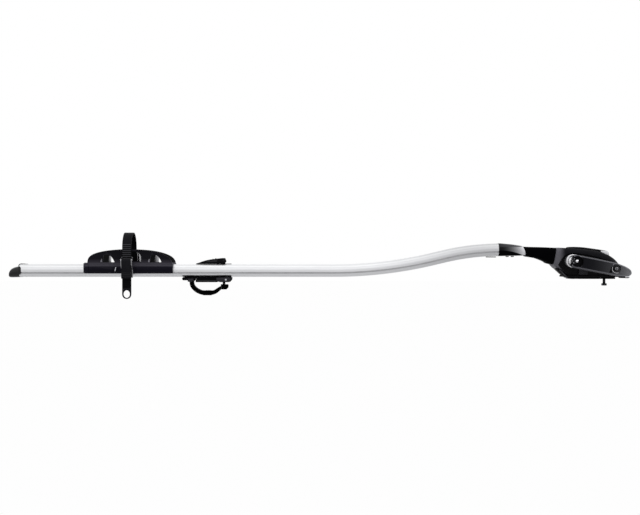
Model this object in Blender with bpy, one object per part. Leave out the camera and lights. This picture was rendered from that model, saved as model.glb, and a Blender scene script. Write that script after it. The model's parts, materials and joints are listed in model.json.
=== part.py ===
"""Fork-mount bicycle carrier for a car roof.

The carrier lies along X: end cap at -X (rear), fork head at +X (front), +Z up. The near side,
with the skewer lever, is -Y. The world origin is on the underside of the front pad, midway
across it. Sizes are in mm; meshes are scaled to metres as they are finished.
"""
import bpy
import bmesh
from math import cos, degrees, hypot, pi, radians, sin
from mathutils import Matrix, Vector

MM = 0.001
SHARP_ANGLE = radians(32)

# ---- tube ------------------------------------------------------------------
TUBE_REAR, TUBE_FRONT = -1278.55, -204.75
TUBE_W = 46.0                  # across Y
TUBE_H = 28.0
TUBE_WALL = 2.0
TUBE_CORNER = 12.0
AXIS_Z = 18.45                 # axis of the straight rear part
TUBE_TOP = AXIS_Z + TUBE_H / 2
TUBE_BOTTOM = AXIS_Z - TUBE_H / 2
BEND_START = -576.0
BEND_ANGLE = radians(13.3)
BEND_R1, BEND_R2 = 960.0, 540.0
BEND_MID = 28.2                # straight length between the two bends
BEND_LEN1 = BEND_R1 * BEND_ANGLE
BEND_LEN2 = BEND_R2 * BEND_ANGLE
PATH_LEN = BEND_LEN1 + BEND_MID + BEND_LEN2
RISE = ((BEND_R1 + BEND_R2) * (1 - cos(BEND_ANGLE)) + BEND_MID * sin(BEND_ANGLE))
HIGH_Z = AXIS_Z + RISE         # axis at the front end
GROOVE_Z = -5.0                # groove middle, from the tube axis
GROOVE_HALF = 1.7              # half height at the mouth
GROOVE_DEPTH = 2.1
GROOVE_TAPER = 0.5             # floor edges sit this much inside the mouth edges
BOLT_SLOT_X = (-838.0, -618.0)  # centres of the slot's round ends
BOLT_SLOT_R = 4.2

# ---- fork head -------------------------------------------------------------
SKEW_X, SKEW_Z = -53.0, 40.0   # skewer axis
SKEW_CENTRE = (SKEW_X, 0, SKEW_Z)
HUB_R = 13.0
LEVER_TILT = radians(-11.3)
PIN_Y = -71.0                  # skewer lever pivot
CUP_Y = -56.6                  # inner face of the skewer cup
CUP_T = 5.4
LOCK_U, LOCK_W = 91.2, 1.2     # lock axis in lever coordinates
CLAMP_X, CLAMP_Z = 31.5, 52.0  # front clamp cam pivot
CLAMP_SEAT = 41.0              # top of the wear plate
BOLT_HOLE_R = 4.2              # front clamp bolt clearance
BASE_SCREWS = [(-38, 27), (-38, -27), (16, 27), (16, -27)]
PLATE_BOTTOM, PLATE_TOP = 4.3, 8.1

# ---- cams: fall of the flank (stroke) over the opening angle ----------------
CAM_GAP = 0.35                 # between flank and seat
CAM_STEPS = 9
SKEW_STROKE, SKEW_OPEN = 3.0, radians(100)
CLAMP_STROKE, CLAMP_OPEN = 3.0, radians(100)
REAR_STROKE, REAR_OPEN = 3.0, radians(105)

# ---- rear clamp ------------------------------------------------------------
REAR_X = -823.5                # cam pin and bolt
REAR_PLATE_BOTTOM = TUBE_TOP + 0.3
REAR_SEAT = REAR_PLATE_BOTTOM + 1.2
REAR_PIN_Z = REAR_SEAT + 7.3
REAR_PIVOT = (REAR_X, 0, REAR_PIN_Z)
REAR_HOLE_R = 3.6              # bolt clearance
BAND_X, BAND_Z = -895.5, -2.0  # band pin

# ---- wheel cradle, strap and buckle ----------------------------------------
CRADLE_X = -1034.0
SKIRT_HALF = 99.0
WING_X, WING_HALF = -1030.0, 94.0
RAIL_HALF = 86.0
STRAP_X = -1034.2
STRAP_HALF_W = 10.0
STRAP_T = 3.0
LOOP_Y, LOOP_Z = -10.25, 69.25  # centre of the round top of the loop
LOOP_R = 32.75                 # mean radius
STRAP_FACE_R0 = LOOP_R - STRAP_T / 2
STRAP_FACE_R1 = LOOP_R + STRAP_T / 2
LOOP_STEPS = 9
LOOP_HALF_GAP = 0.4            # each strap half stops this far short of the loop top
ANCHOR_Z = 47.0
LOCK_SCREW = (-1062.0, 22.0)   # (x, z)
RIVET_DX, RIVET_Z = 6.0, 20.0
BUCKLE_Y, BUCKLE_Z = -49.4, 41.5  # buckle pin
PIN_HOLE_R = 2.0               # for the buckle pin and the band pin
THIN_PIN_R = 1.7

MATERIALS = {
    # key: (material name, base colour, roughness, metallic)
    "alu": ("anodised_aluminium", (0.62, 0.63, 0.64), 0.38, 1.0),
    "alu_dark": ("cast_aluminium", (0.32, 0.33, 0.34), 0.5, 1.0),
    "black": ("black_plastic", (0.022, 0.023, 0.026), 0.5, 0.0),
    "neck": ("neck_plastic", (0.016, 0.015, 0.018), 0.62, 0.0),
    "housing": ("housing_plastic", (0.055, 0.055, 0.065), 0.42, 0.0),
    "lever": ("lever_plastic", (0.05, 0.05, 0.056), 0.35, 0.0),
    "gloss": ("gloss_cap", (0.012, 0.012, 0.014), 0.18, 0.0),
    "collar": ("gloss_collar", (0.06, 0.06, 0.07), 0.12, 0.0),
    "plastic": ("cradle_plastic", (0.02, 0.022, 0.028), 0.5, 0.0),
    "rubber": ("rubber", (0.012, 0.012, 0.012), 0.85, 0.0),
    "strap": ("strap_polymer", (0.018, 0.019, 0.022), 0.55, 0.0),
    "steel": ("zinc_steel", (0.55, 0.55, 0.56), 0.35, 1.0),
    "chrome": ("bright_steel", (0.75, 0.75, 0.77), 0.15, 1.0),
    "plate": ("base_plate_black", (0.018, 0.018, 0.02), 0.55, 0.0),
}


# ============================================================================
# scene, meshes and booleans
# ============================================================================
def clean_scene():
    for o in list(bpy.data.objects):
        bpy.data.objects.remove(o, do_unlink=True)


def make_material(name, colour, roughness, metallic):
    mat = bpy.data.materials.new(name)
    mat.use_nodes = True
    shader = next(n for n in mat.node_tree.nodes if n.type == "BSDF_PRINCIPLED")
    shader.inputs["Base Color"].default_value = (*colour, 1.0)
    shader.inputs["Roughness"].default_value = roughness
    shader.inputs["Metallic"].default_value = metallic
    mat.diffuse_color = (*colour, 1.0)
    return mat


def shade(mesh):
    for p in mesh.polygons:
        p.use_smooth = True
    mesh.set_sharp_from_angle(angle=SHARP_ANGLE)


def set_origin(o, origin):
    """Move the object's origin to a point in mm, leaving its mesh where it is."""
    v = Vector(origin) * MM
    o.data.transform(Matrix.Translation(-v))
    o.location = v


def finish(name, bm, mat=None, origin=None):
    """Closed mesh in world mm -> named object in metres, with its origin at a joint if given."""
    bmesh.ops.remove_doubles(bm, verts=bm.verts, dist=0.0005)
    bmesh.ops.recalc_face_normals(bm, faces=bm.faces)
    if bm.calc_volume(signed=True) < 0:
        bmesh.ops.reverse_faces(bm, faces=bm.faces)
    mesh = bpy.data.meshes.new(name)
    bm.to_mesh(mesh)
    bm.free()
    mesh.transform(Matrix.Scale(MM, 4))
    o = bpy.data.objects.new(name, mesh)
    bpy.context.scene.collection.objects.link(o)
    if mat is not None:
        mesh.materials.append(mat)
    if origin is not None:
        set_origin(o, origin)
    shade(mesh)
    return o


def apply_boolean(o, cutter, operation):
    mod = o.modifiers.new("cut", "BOOLEAN")
    mod.solver = "EXACT"
    mod.operation = operation
    mod.object = cutter
    bpy.context.view_layer.update()
    depsgraph = bpy.context.evaluated_depsgraph_get()
    mesh = bpy.data.meshes.new_from_object(o.evaluated_get(depsgraph), depsgraph=depsgraph)
    o.modifiers.clear()
    old = o.data
    name = old.name
    o.data = mesh
    bpy.data.meshes.remove(old)
    mesh.name = name
    bpy.data.objects.remove(cutter, do_unlink=True)


def carve(o, cutters, operation="DIFFERENCE"):
    """Apply an exact boolean with each cutter, then tidy the mesh; the cutters are consumed."""
    for cutter in cutters:
        apply_boolean(o, cutter, operation)
    bm = bmesh.new()
    bm.from_mesh(o.data)
    bmesh.ops.remove_doubles(bm, verts=bm.verts, dist=1e-6)
    bmesh.ops.dissolve_degenerate(bm, edges=bm.edges, dist=1e-6)
    bmesh.ops.triangulate(bm, faces=[f for f in bm.faces if len(f.verts) > 4])
    bm.to_mesh(o.data)
    bm.free()
    shade(o.data)


# ============================================================================
# outlines
# ============================================================================
def arc(cx, cy, r, start, end, steps):
    """Points from start to end, in degrees."""
    angles = [radians(start + (end - start) * i / steps) for i in range(steps + 1)]
    return [(cx + r * cos(a), cy + r * sin(a)) for a in angles]


def rect(u0, v0, u1, v1):
    return [(u0, v0), (u1, v0), (u1, v1), (u0, v1)]


def shift(outline, du, dv):
    return [(du + u, dv + v) for u, v in outline]


def rounded_rect(half_w, half_h, corner, steps=5):
    points = []
    for su, sv, start in ((1, 1, 0), (-1, 1, 90), (-1, -1, 180), (1, -1, 270)):
        points += arc(su * (half_w - corner), sv * (half_h - corner), corner,
                      start, start + 90, steps)
    return points


def inset(outline, d):
    """Counter-clockwise outline moved inward by d, with mitred corners."""
    out = []
    for i, (x1, y1) in enumerate(outline):
        x0, y0 = outline[i - 1]
        x2, y2 = outline[(i + 1) % len(outline)]
        len1 = hypot(x1 - x0, y1 - y0)
        len2 = hypot(x2 - x1, y2 - y1)
        normal1 = (-(y1 - y0) / len1, (x1 - x0) / len1)
        normal2 = (-(y2 - y1) / len2, (x2 - x1) / len2)
        k = 1 + normal1[0] * normal2[0] + normal1[1] * normal2[1]
        out.append((x1 + d * (normal1[0] + normal2[0]) / k,
                    y1 + d * (normal1[1] + normal2[1]) / k))
    return out


def cam(pivot_height, stroke, opening):
    """Cam flank as the envelope of its own contact line, as (dx, dz) about the pivot.

    It starts straight down and turns toward +x; the reach falls by stroke over the opening.
    """
    points = []
    slope = -stroke / opening
    for i in range(CAM_STEPS + 1):
        t = opening * i / CAM_STEPS
        h = pivot_height - CAM_GAP + slope * t
        points.append((h * sin(t) + slope * cos(t), -h * cos(t) + slope * sin(t)))
    return points


# ============================================================================
# solids; a cutter is a solid without a material
# ============================================================================
def skin(bm, loops, flip=False):
    """Quads between equal-length closed loops of points; returns the rows of vertices."""
    rows = [[bm.verts.new(p) for p in loop] for loop in loops]
    for a, b in zip(rows, rows[1:]):
        for i in range(len(a)):
            j = (i + 1) % len(a)
            face = (a[i], a[j], b[j], b[i])
            bm.faces.new(face[::-1] if flip else face)
    return rows


def loft(name, loops, mat=None, origin=None):
    """Skin the loops and close both ends with flat caps."""
    bm = bmesh.new()
    rows = skin(bm, loops)
    bm.faces.new(rows[0][::-1])
    bm.faces.new(rows[-1])
    return finish(name, bm, mat, origin)


def along_x(y, z, x):
    return (x, y, z)


def along_y(x, z, y):
    return (x, y, z)


def along_z(x, y, z):
    return (x, y, z)


def along_lever_y(u, w, y):
    """Skewer lever coordinates, u toward the tip and w up across the lever, to world."""
    return (SKEW_X + u * cos(LEVER_TILT) - w * sin(LEVER_TILT),
            y,
            SKEW_Z + u * sin(LEVER_TILT) + w * cos(LEVER_TILT))


def along_lever_w(u, y, w):
    return along_lever_y(u, w, y)


def prism(name, outline, start, end, place, mat=None, bevel=0.0, origin=None):
    """Outline extruded from start to end; place maps (u, v, distance) to world.

    A bevel needs a counter-clockwise outline and start < end.
    """
    if bevel:
        small = inset(outline, bevel)
        rows = [(small, start), (outline, start + bevel), (outline, end - bevel), (small, end)]
    else:
        rows = [(outline, start), (outline, end)]
    return loft(name, [[place(u, v, a) for u, v in points] for points, a in rows], mat, origin)


def box(name, lo, hi, mat=None, bevel=0.0):
    return prism(name, rect(lo[0], lo[1], hi[0], hi[1]), lo[2], hi[2], along_z, mat, bevel)


def axis_frame(axis):
    w = Vector(axis).normalized()
    helper = Vector((0, 0, 1)) if abs(w.z) < 0.9 else Vector((1, 0, 0))
    u = helper.cross(w).normalized()
    return u, w.cross(u), w


def lathe(name, profile, base, axis, seg, mat=None, origin=None):
    """Revolve (radius, height) points about the axis through base.

    A profile that starts and ends at radius 0 makes a solid; any other makes a ring.
    """
    u, v, w = axis_frame(axis)
    c = Vector(base)
    bm = bmesh.new()
    rings = []
    for r, h in profile:
        if r < 1e-6:
            rings.append([bm.verts.new(c + w * h)])
            continue
        angles = [2 * pi * i / seg for i in range(seg)]
        rings.append([bm.verts.new(c + w * h + (u * cos(t) + v * sin(t)) * r) for t in angles])
    pairs = list(zip(rings, rings[1:]))
    solid = len(rings[0]) == 1 and len(rings[-1]) == 1
    if not solid:
        pairs.append((rings[-1], rings[0]))
    for a, b in pairs:
        for i in range(seg):
            j = (i + 1) % seg
            if len(a) == 1:
                bm.faces.new((a[0], b[i], b[j]))
            elif len(b) == 1:
                bm.faces.new((a[i], b[0], a[j]))
            else:
                bm.faces.new((a[i], b[i], b[j], a[j]))
    return finish(name, bm, mat, origin)


def rod(name, start, end, r, seg, mat=None, bevel=0.0, origin=None):
    axis = Vector(end) - Vector(start)
    h = axis.length
    if bevel:
        profile = [(0, 0), (r - bevel, 0), (r, bevel), (r, h - bevel), (r - bevel, h), (0, h)]
    else:
        profile = [(0, 0), (r, 0), (r, h), (0, h)]
    return lathe(name, profile, start, axis, seg, mat, origin)


def bore(place, centre, r, start, end, seg):
    """Round cutter from start to end; place and centre are as for a prism."""
    return rod("bore", place(*centre, start), place(*centre, end), r, seg)


# ============================================================================
# tube
# ============================================================================
TUBE_OUTLINE = rounded_rect(TUBE_W / 2, TUBE_H / 2, TUBE_CORNER)


def inner_outline(side_inset, top_inset, corner, steps=5):
    """Oval (y, z) inside the tube, inset further than the nominal wall."""
    return rounded_rect(TUBE_W / 2 - TUBE_WALL - side_inset,
                        TUBE_H / 2 - TUBE_WALL - top_inset, corner, steps)


def with_grooves(outline):
    """Oval outline (y, z) with a shallow groove let into each side."""
    out = []
    for (y, z), (next_y, next_z) in zip(outline, outline[1:] + outline[:1]):
        if abs(z - GROOVE_Z) >= GROOVE_HALF:
            out.append((y, z))
        crossings = []
        for edge_z in (GROOVE_Z - GROOVE_HALF, GROOVE_Z + GROOVE_HALF):
            if (z - edge_z) * (next_z - edge_z) < 0:
                t = (edge_z - z) / (next_z - z)
                crossings.append((t, y + t * (next_y - y), edge_z))
        for _, edge_y, edge_z in sorted(crossings):
            lower = edge_z < GROOVE_Z
            side = 1 if edge_y > 0 else -1
            floor = (side * (TUBE_W / 2 - GROOVE_DEPTH),
                     edge_z + (GROOVE_TAPER if lower else -GROOVE_TAPER))
            mouth = (edge_y, edge_z)
            entering = lower == (z < next_z)
            out += [mouth, floor] if entering else [floor, mouth]
    return out


def path_point(s):
    """(x, z, angle) on the tube axis up to PATH_LEN; s is measured from the bend start."""
    if s <= 0:
        return BEND_START + s, AXIS_Z, 0.0
    if s <= BEND_LEN1:
        a = s / BEND_R1
        return BEND_START + BEND_R1 * sin(a), AXIS_Z + BEND_R1 * (1 - cos(a)), a
    x1 = BEND_START + BEND_R1 * sin(BEND_ANGLE)
    z1 = AXIS_Z + BEND_R1 * (1 - cos(BEND_ANGLE))
    d = min(s - BEND_LEN1, BEND_MID)
    x2 = x1 + d * cos(BEND_ANGLE)
    z2 = z1 + d * sin(BEND_ANGLE)
    if s <= BEND_LEN1 + BEND_MID:
        return x2, z2, BEND_ANGLE
    a = BEND_ANGLE - (s - BEND_LEN1 - BEND_MID) / BEND_R2
    return (x2 + BEND_R2 * (sin(BEND_ANGLE) - sin(a)),
            z2 + BEND_R2 * (cos(a) - cos(BEND_ANGLE)), a)


def tube_stations():
    rear = [TUBE_REAR - BEND_START, 0.0]
    bend1 = [BEND_LEN1 * i / 8 for i in range(1, 9)]
    bend2 = [BEND_LEN1 + BEND_MID + BEND_LEN2 * i / 6 for i in range(7)]
    return rear + bend1 + bend2


def sweep(outline, stations):
    rows = []
    for s in stations:
        x, z, a = path_point(s)
        rows.append([(x - w * sin(a), y, z + w * cos(a)) for y, w in outline])
    return rows


def build_tube(mats):
    bm = bmesh.new()
    skins = []
    for outline, flip in ((with_grooves(TUBE_OUTLINE), False),
                          (inner_outline(1.2, 0.0, TUBE_CORNER - 2.6, steps=3), True)):
        rows = sweep(outline, tube_stations())
        # the front end is cut square at the collar
        rows[-1] = [(TUBE_FRONT, y, z) for x, y, z in rows[-1]]
        skins.append(skin(bm, rows, flip))
    for end in (0, -1):
        edges = []
        for rows in skins:
            loop = rows[end]
            edges += [bm.edges.get(pair) for pair in zip(loop, loop[1:] + loop[:1])]
        bmesh.ops.triangle_fill(bm, use_beauty=True, use_dissolve=False, edges=edges)
    tube = finish("tube", bm, mats["alu"])
    # one slot through the top and bottom walls for the rear clamp bolt
    x0, x1 = BOLT_SLOT_X
    slot = arc(x1, 0, BOLT_SLOT_R, -90, 90, 5) + arc(x0, 0, BOLT_SLOT_R, 90, 270, 5)
    carve(tube, [prism("slot", slot, TUBE_BOTTOM - 5, TUBE_TOP + 5, along_z)])


# ============================================================================
# end cap
# ============================================================================
CAP_STATIONS = [
    # x, top z, bottom z, half width
    (-1303.4, 13.0, 4.6, 15.0),
    (-1302.2, 17.4, 3.7, 18.0),
    (-1298.8, 21.8, 3.3, 20.5),
    (-1293.6, 25.0, 3.3, 21.9),
    (-1286.6, 27.0, 3.5, 22.6),
    (-1278.9, 28.2, 3.8, 22.9),
]
CAP_LUG = [  # (x, z)
    (-1283.5, 24.0), (-1282.6, 31.6), (-1278.9, 34.0), (-1276.0, 34.4),
    (-1266.0, 33.4), (-1266.0, 32.75), (-1278.9, 32.75), (-1278.9, 24.0)]
CAP_LUG_HALF_W = 9.0
CAP_PLUG = [(-1281.0, 1.0), (-1258.0, 1.0), (-1256.0, 0.95)]  # (x, scale of the section)
CAP_PLUG_TOP = 8.6             # flat top of the plug, above the tube axis


def build_end_cap(mats):
    rows = []
    for x, top, bottom, half_w in CAP_STATIONS:
        half_h = (top - bottom) / 2
        mid = (top + bottom) / 2
        rows.append([(x, y * half_w / (TUBE_W / 2), mid + w * half_h / (TUBE_H / 2))
                     for y, w in TUBE_OUTLINE])
    cap = loft("end_cap", rows, mats["gloss"])
    # the plug reaches into the tube, the lug laps over its top
    outline = inner_outline(1.6, 0.5, 9.0)
    plug = loft("cap_plug", [[(x, y * k, AXIS_Z + min(w, CAP_PLUG_TOP) * k) for y, w in outline]
                             for x, k in CAP_PLUG])
    carve(cap, [plug], "UNION")
    lug = prism("cap_lug", CAP_LUG, -CAP_LUG_HALF_W, CAP_LUG_HALF_W, along_y)
    carve(cap, [lug], "UNION")


# ============================================================================
# fork head: neck, housing, collar and base
# ============================================================================
# Stations of the head: x of the top, x of the bottom, bottom z, top z, half width, corner
NECK = [
    (-147.2, -139.6, 49.4, 71.6, 21.8, 9),
    (-138.0, -134.0, 48.2, 71.4, 22.2, 9),
    (-123.7, -123.7, 46.6, 71.2, 23.0, 9),
    (-112.5, -112.5, 42.4, 70.9, 24.0, 9.5),
    (-101.0, -101.0, 37.6, 70.4, 25.2, 10),
    (-92.0, -92.6, 32.0, 69.9, 26.4, 10),
    (-85.0, -88.6, 28.2, 69.5, 27.4, 10),
    (-76.6, -84.8, 25.5, 69.1, 28.2, 10),
]
HOUSING = [
    (-75.8, -84.0, 25.5, 69.0, 28.5, 10),
    (-73.5, -80.0, 21.0, 69.2, 31.0, 10),
    (-68.0, -71.0, 13.0, 69.0, 35.5, 10),
    (-62.0, -64.0, 8.6, 68.7, 38.0, 10),
    (-50.0, -52.0, 8.4, 68.2, 39.0, 10),
    (-20.0, -20.0, 8.4, 66.0, 39.0, 10),
    (5.0, 5.0, 8.4, 62.5, 38.5, 10),
    (22.0, 24.0, 8.4, 58.0, 37.5, 10),
    (36.0, 40.0, 8.4, 52.5, 35.5, 10),
    (47.0, 54.0, 8.4, 45.5, 32.5, 10),
    (56.5, 65.0, 8.4, 36.0, 28.5, 10),
    (63.5, 71.0, 8.6, 25.5, 24.0, 8),
    (67.5, 73.5, 9.6, 18.0, 19.0, 4),
]
TENON = [(-86, -92, 38, 62, 18, 6), (-66, -70, 38, 62, 18, 6)]
SOCKET = [(-90, -90, 37.3, 62.7, 18.7, 6.4), (-65.2, -69, 37.3, 62.7, 18.7, 6.4)]
SPIGOT_BACK = (46, 30, 15)     # spigot stations, back along the path from its front end
LEVER_RECESS = [               # (x, z), open at the top
    (-54.6, 90), (-54.6, 61.3), (8, 58.2), (15, 39.5), (80, 39.5), (80, 90)]
LEVER_RECESS_HALF_W = 15.6

COLLAR = [
    # x of the top, x of the bottom, top shift, bottom shift, half-width change
    (-204.3, -204.3, 0.0, 0.0, 0.0),
    (-190.0, -190.0, -0.9, 0.0, 0.0),
    (-178.0, -178.0, -2.0, 0.1, -0.2),
    (-164.0, -162.0, -4.1, 0.6, -0.5),
    (-149.0, -142.4, -6.9, 1.6, -0.9),
]
COLLAR_SPARE = 1.6             # fall of the collar top before the bore has to follow
COLLAR_SCREW_X = (-186.5, -175.0)
COLLAR_SCREW_Z = HIGH_Z - TUBE_H / 2 - 0.35
COLLAR_SCREW = [(0, -2.0), (2.6, -2.0), (3.6, -1.2), (3.6, 0), (0, 0)]  # (radius, height)

BASE_PLATE = [                 # (x, y)
    (-62, -30), (-58, -35), (40, -32.5), (58, -28), (73, -21),
    (73, 21), (58, 28), (40, 32.5), (-58, 35), (-62, 30)]
FRONT_PAD = [                  # (x, y)
    (-50, -20), (-47, -31), (44, -29), (51, -20), (51, 20), (44, 29), (-47, 31), (-50, 20)]
PAD_T = 4.0
BASE_BEVEL = 0.8
BASE_SCREW_Z = 3.75            # underside of the screw head
BASE_SCREW = [                 # (radius, height), with a socket in the head
    (0, 1.4), (1.6, 1.4), (1.6, 0.0), (4.7, 0.0), (4.7, 2.2), (2.3, 2.2), (2.3, 13), (0, 13)]

AXLE_TUBE = [                  # (radius, height)
    (5.2, -48.2), (HUB_R - 0.6, -48.2), (HUB_R, -47.6),
    (HUB_R, 47.6), (HUB_R - 0.6, 48.2), (5.2, 48.2)]
WASHER = [                     # (radius, height)
    (5.2, 0), (HUB_R - 0.3, 0), (HUB_R - 0.3, 1.2), (HUB_R - 0.7, 1.5), (5.2, 1.5)]
WASHER_Y = 48.5
LOCK_CATCH = [                 # lever (u, y)
    (114.3, -35.2), (104.3, -35.2), (104.3, -60.3), (97.9, -60.3), (97.9, -63.2),
    (109.3, -63.2)]


def head_loops(stations, steps=4):
    """Rounded rectangles across Y; each plane leans from x_bottom up to x_top."""
    loops = []
    for x_top, x_bottom, z_low, z_high, half_w, corner in stations:
        mid = (z_low + z_high) / 2
        half_h = (z_high - z_low) / 2
        loop = []
        for y, w in rounded_rect(half_w, half_h, corner, steps):
            t = (w + half_h) / (2 * half_h)
            loop.append((x_bottom + (x_top - x_bottom) * t, y, mid + w))
        loops.append(loop)
    return loops


def collar_outer_loops():
    """The tube's outline carried forward, its top falling toward the front."""
    loops = []
    for x_top, x_bottom, top_shift, bottom_shift, widening in COLLAR:
        loop = []
        for y, w in TUBE_OUTLINE:
            t = (w + TUBE_H / 2) / TUBE_H
            loop.append((x_bottom + (x_top - x_bottom) * t,
                         y * (1 + widening / (TUBE_W / 2)),
                         HIGH_Z + w + top_shift * t + bottom_shift * (1 - t)))
        loops.append(loop)
    return loops


def collar_inner_loops(outline):
    """Outline carried through the collar; its top half drops once the spare is used up."""
    loops = []
    for x_top, x_bottom, top_shift, _, _ in COLLAR:
        loop = []
        for y, w in outline:
            t = (w + TUBE_H / 2) / TUBE_H
            drop = min(0.0, top_shift + COLLAR_SPARE) * t if t > 0.5 else 0.0
            loop.append((x_bottom + (x_top - x_bottom) * t, y, HIGH_Z + w + drop))
        loops.append(loop)
    return loops


def build_neck(mats):
    """Neck with a spigot inside the collar and tube, and a tenon into the housing."""
    outline = inner_outline(1.8, 0.9, 8.6)
    rows = sweep(outline, [PATH_LEN - back for back in SPIGOT_BACK])
    rows += collar_inner_loops(outline)
    rows += head_loops(NECK, steps=5)
    neck = loft("head_neck", rows, mats["neck"])
    carve(neck, [loft("tenon", head_loops(TENON))], "UNION")


def build_housing(mats):
    housing = loft("head_housing", head_loops(HOUSING), mats["housing"])
    cuts = [
        loft("socket", head_loops(SOCKET)),
        bore(along_y, (SKEW_X, SKEW_Z), HUB_R + 0.35, -60, 60, 32),
        prism("recess", LEVER_RECESS, -LEVER_RECESS_HALF_W, LEVER_RECESS_HALF_W, along_y),
        bore(along_z, (CLAMP_X, 0), BOLT_HOLE_R, -5, 60, 24),
    ]
    cuts += [bore(along_z, screw, 2.8, 0, 22, 12) for screw in BASE_SCREWS]
    carve(housing, cuts)


def build_base_plate(mats):
    plate = prism("base_plate", BASE_PLATE, PLATE_BOTTOM, PLATE_TOP, along_z, mats["plate"],
                  BASE_BEVEL)
    cuts = [bore(along_z, (CLAMP_X, 0), BOLT_HOLE_R, 0, 20, 24)]
    for screw in BASE_SCREWS:
        cuts.append(bore(along_z, screw, 2.9, 0, 22, 12))
        # counterbore from below for the screw head
        cuts.append(bore(along_z, screw, 5.3, 2, 6.3, 14))
    carve(plate, cuts)


def build_front_pad(mats):
    pad = prism("front_pad", FRONT_PAD, 0.0, PAD_T, along_z, mats["rubber"], BASE_BEVEL)
    cuts = [bore(along_z, (CLAMP_X, 0), 5.0, -5, 20, 24)]
    cuts += [bore(along_z, screw, 5.5, -2, 6.3, 14) for screw in BASE_SCREWS]
    carve(pad, cuts)


def build_base_screws(mats):
    for i, screw in enumerate(BASE_SCREWS):
        lathe("base_screw_%d" % (i + 1), BASE_SCREW, (*screw, BASE_SCREW_Z), (0, 0, 1), 12,
              mats["steel"])


def build_collar(mats):
    """Glossy collar flush with the tube, its front edge slanted."""
    bm = bmesh.new()
    outer = skin(bm, collar_outer_loops())
    inner = skin(bm, collar_inner_loops(inner_outline(1.5, 0.6, 8.9)), flip=True)
    for end in (0, -1):
        n = len(outer[end])
        for i in range(n):
            j = (i + 1) % n
            face = (outer[end][i], outer[end][j], inner[end][j], inner[end][i])
            bm.faces.new(face[::-1] if end == 0 else face)
    finish("tube_collar", bm, mats["collar"])


def build_neck_underside(mats):
    """Tab under the front end of the tube and two screws under the collar."""
    box("tube_stop_tab", (-234.0, -5.0, 47.9), (-212.0, 5.0, 49.9), mats["black"], 0.5)
    for i, x in enumerate(COLLAR_SCREW_X):
        lathe("collar_screw_%d" % (i + 1), COLLAR_SCREW, (x, 0, COLLAR_SCREW_Z), (0, 0, 1), 20,
              mats["steel"])


def build_axle(mats):
    """Axle tube across the housing with a steel washer at each end."""
    lathe("axle_tube", AXLE_TUBE, SKEW_CENTRE, (0, 1, 0), 24, mats["alu_dark"])
    for tag, side in (("near", -1), ("far", 1)):
        lathe("dropout_washer_%s" % tag, WASHER, (SKEW_X, side * WASHER_Y, SKEW_Z),
              (0, side, 0), 24, mats["steel"])


def build_lock_catch(mats):
    """Catch standing out from the side of the housing, with a lip toward the lock."""
    prism("lock_catch", LOCK_CATCH, -7.0, 9.0, along_lever_w, mats["black"])


# ============================================================================
# skewer
# ============================================================================
SKEWER_ROD = [                 # (radius, y)
    (0, -75.4), (3.2, -75.4), (4.2, -74.6), (4.2, 70.0), (3.6, 71.0), (0, 71.0)]
SKEWER_PIN_R, SKEWER_PIN_HALF = 2.0, 14.3
SKEWER_PIN_HOLE_R = 2.35
CUP = [                        # (radius, height)
    (4.6, 0), (14.5, 0), (16.0, 1.0), (16.0, 3.8), (15.0, CUP_T), (4.6, CUP_T)]
NUT_R, NUT_LOBE, NUT_LOBES = 14.2, 1.5, 6
NUT_POINTS = 36
NUT_Y0, NUT_Y1 = 56.6, 69.5
LEVER_SIDE = [                 # lever (u, w)
    (-9.0, -8.5), (-4.5, -13.2), (2.0, -14.8), (84.0, -14.5), (108, -13.8), (120.2, -11.2),
    (126.6, -7.0), (129.0, -2.0), (126.8, 3.4), (118.6, 8.3), (100.0, 12.4), (82.0, 14.2),
    (3.8, 14.2), (-4.5, 12.6), (-9.0, 8.5)]
LEVER_INNER = [(20.0, -63.2), (60.0, -64.2), (120.0, -65.2)]  # lever (u, y), facing the housing
LEVER_OUTER = [                # lever (u, y), from the tip back to the cam
    (128.5, -68.0), (128.5, -71.5), (118, -75.6), (90, -78.6), (40, -80.0), (6, -80.0),
    (-3.0, -78.2)]
EYE_SLOT = rect(-30, -50, 6.9, -77.7)  # lever (u, y)
EYE_SLOT_HALF = 4.9
BARREL_R = 6.4                 # lock hole in the lever
LOCK_RING = [                  # (radius, height)
    (BARREL_R, 0), (8.5, 0), (8.5, 2.9), (7.9, 3.4), (BARREL_R, 3.4)]
LOCK_PLUG = [                  # (radius, height)
    (0, 0), (4.0, 0), (4.0, 0.5), (6.0, 0.5), (6.0, 22.5), (5.4, 22.9), (0, 22.9)]
LOCK_TANG = rect(-2.6, -3.0, 2.6, 10.0)  # (u, w) about the lock axis
KEY_SLOT = rect(-0.6, -2.8, 0.6, 2.8)    # (u, w) about the lock axis


def build_skewer_rod(mats):
    skewer = lathe("skewer_rod", SKEWER_ROD, SKEW_CENTRE, (0, 1, 0), 24, mats["steel"],
                   origin=SKEW_CENTRE)
    carve(skewer, [skewer_pin_bore()])
    rod("skewer_pin", along_lever_y(0, -SKEWER_PIN_HALF, PIN_Y),
        along_lever_y(0, SKEWER_PIN_HALF, PIN_Y), SKEWER_PIN_R, 20, mats["steel"], 0.3)


def skewer_pin_bore():
    return rod("pin_bore", along_lever_y(0, -30, PIN_Y), along_lever_y(0, 30, PIN_Y),
               SKEWER_PIN_HOLE_R, 20)


def build_skewer_cup(mats):
    lathe("skewer_cup", CUP, (SKEW_X, CUP_Y, SKEW_Z), (0, -1, 0), 28, mats["chrome"])


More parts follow.
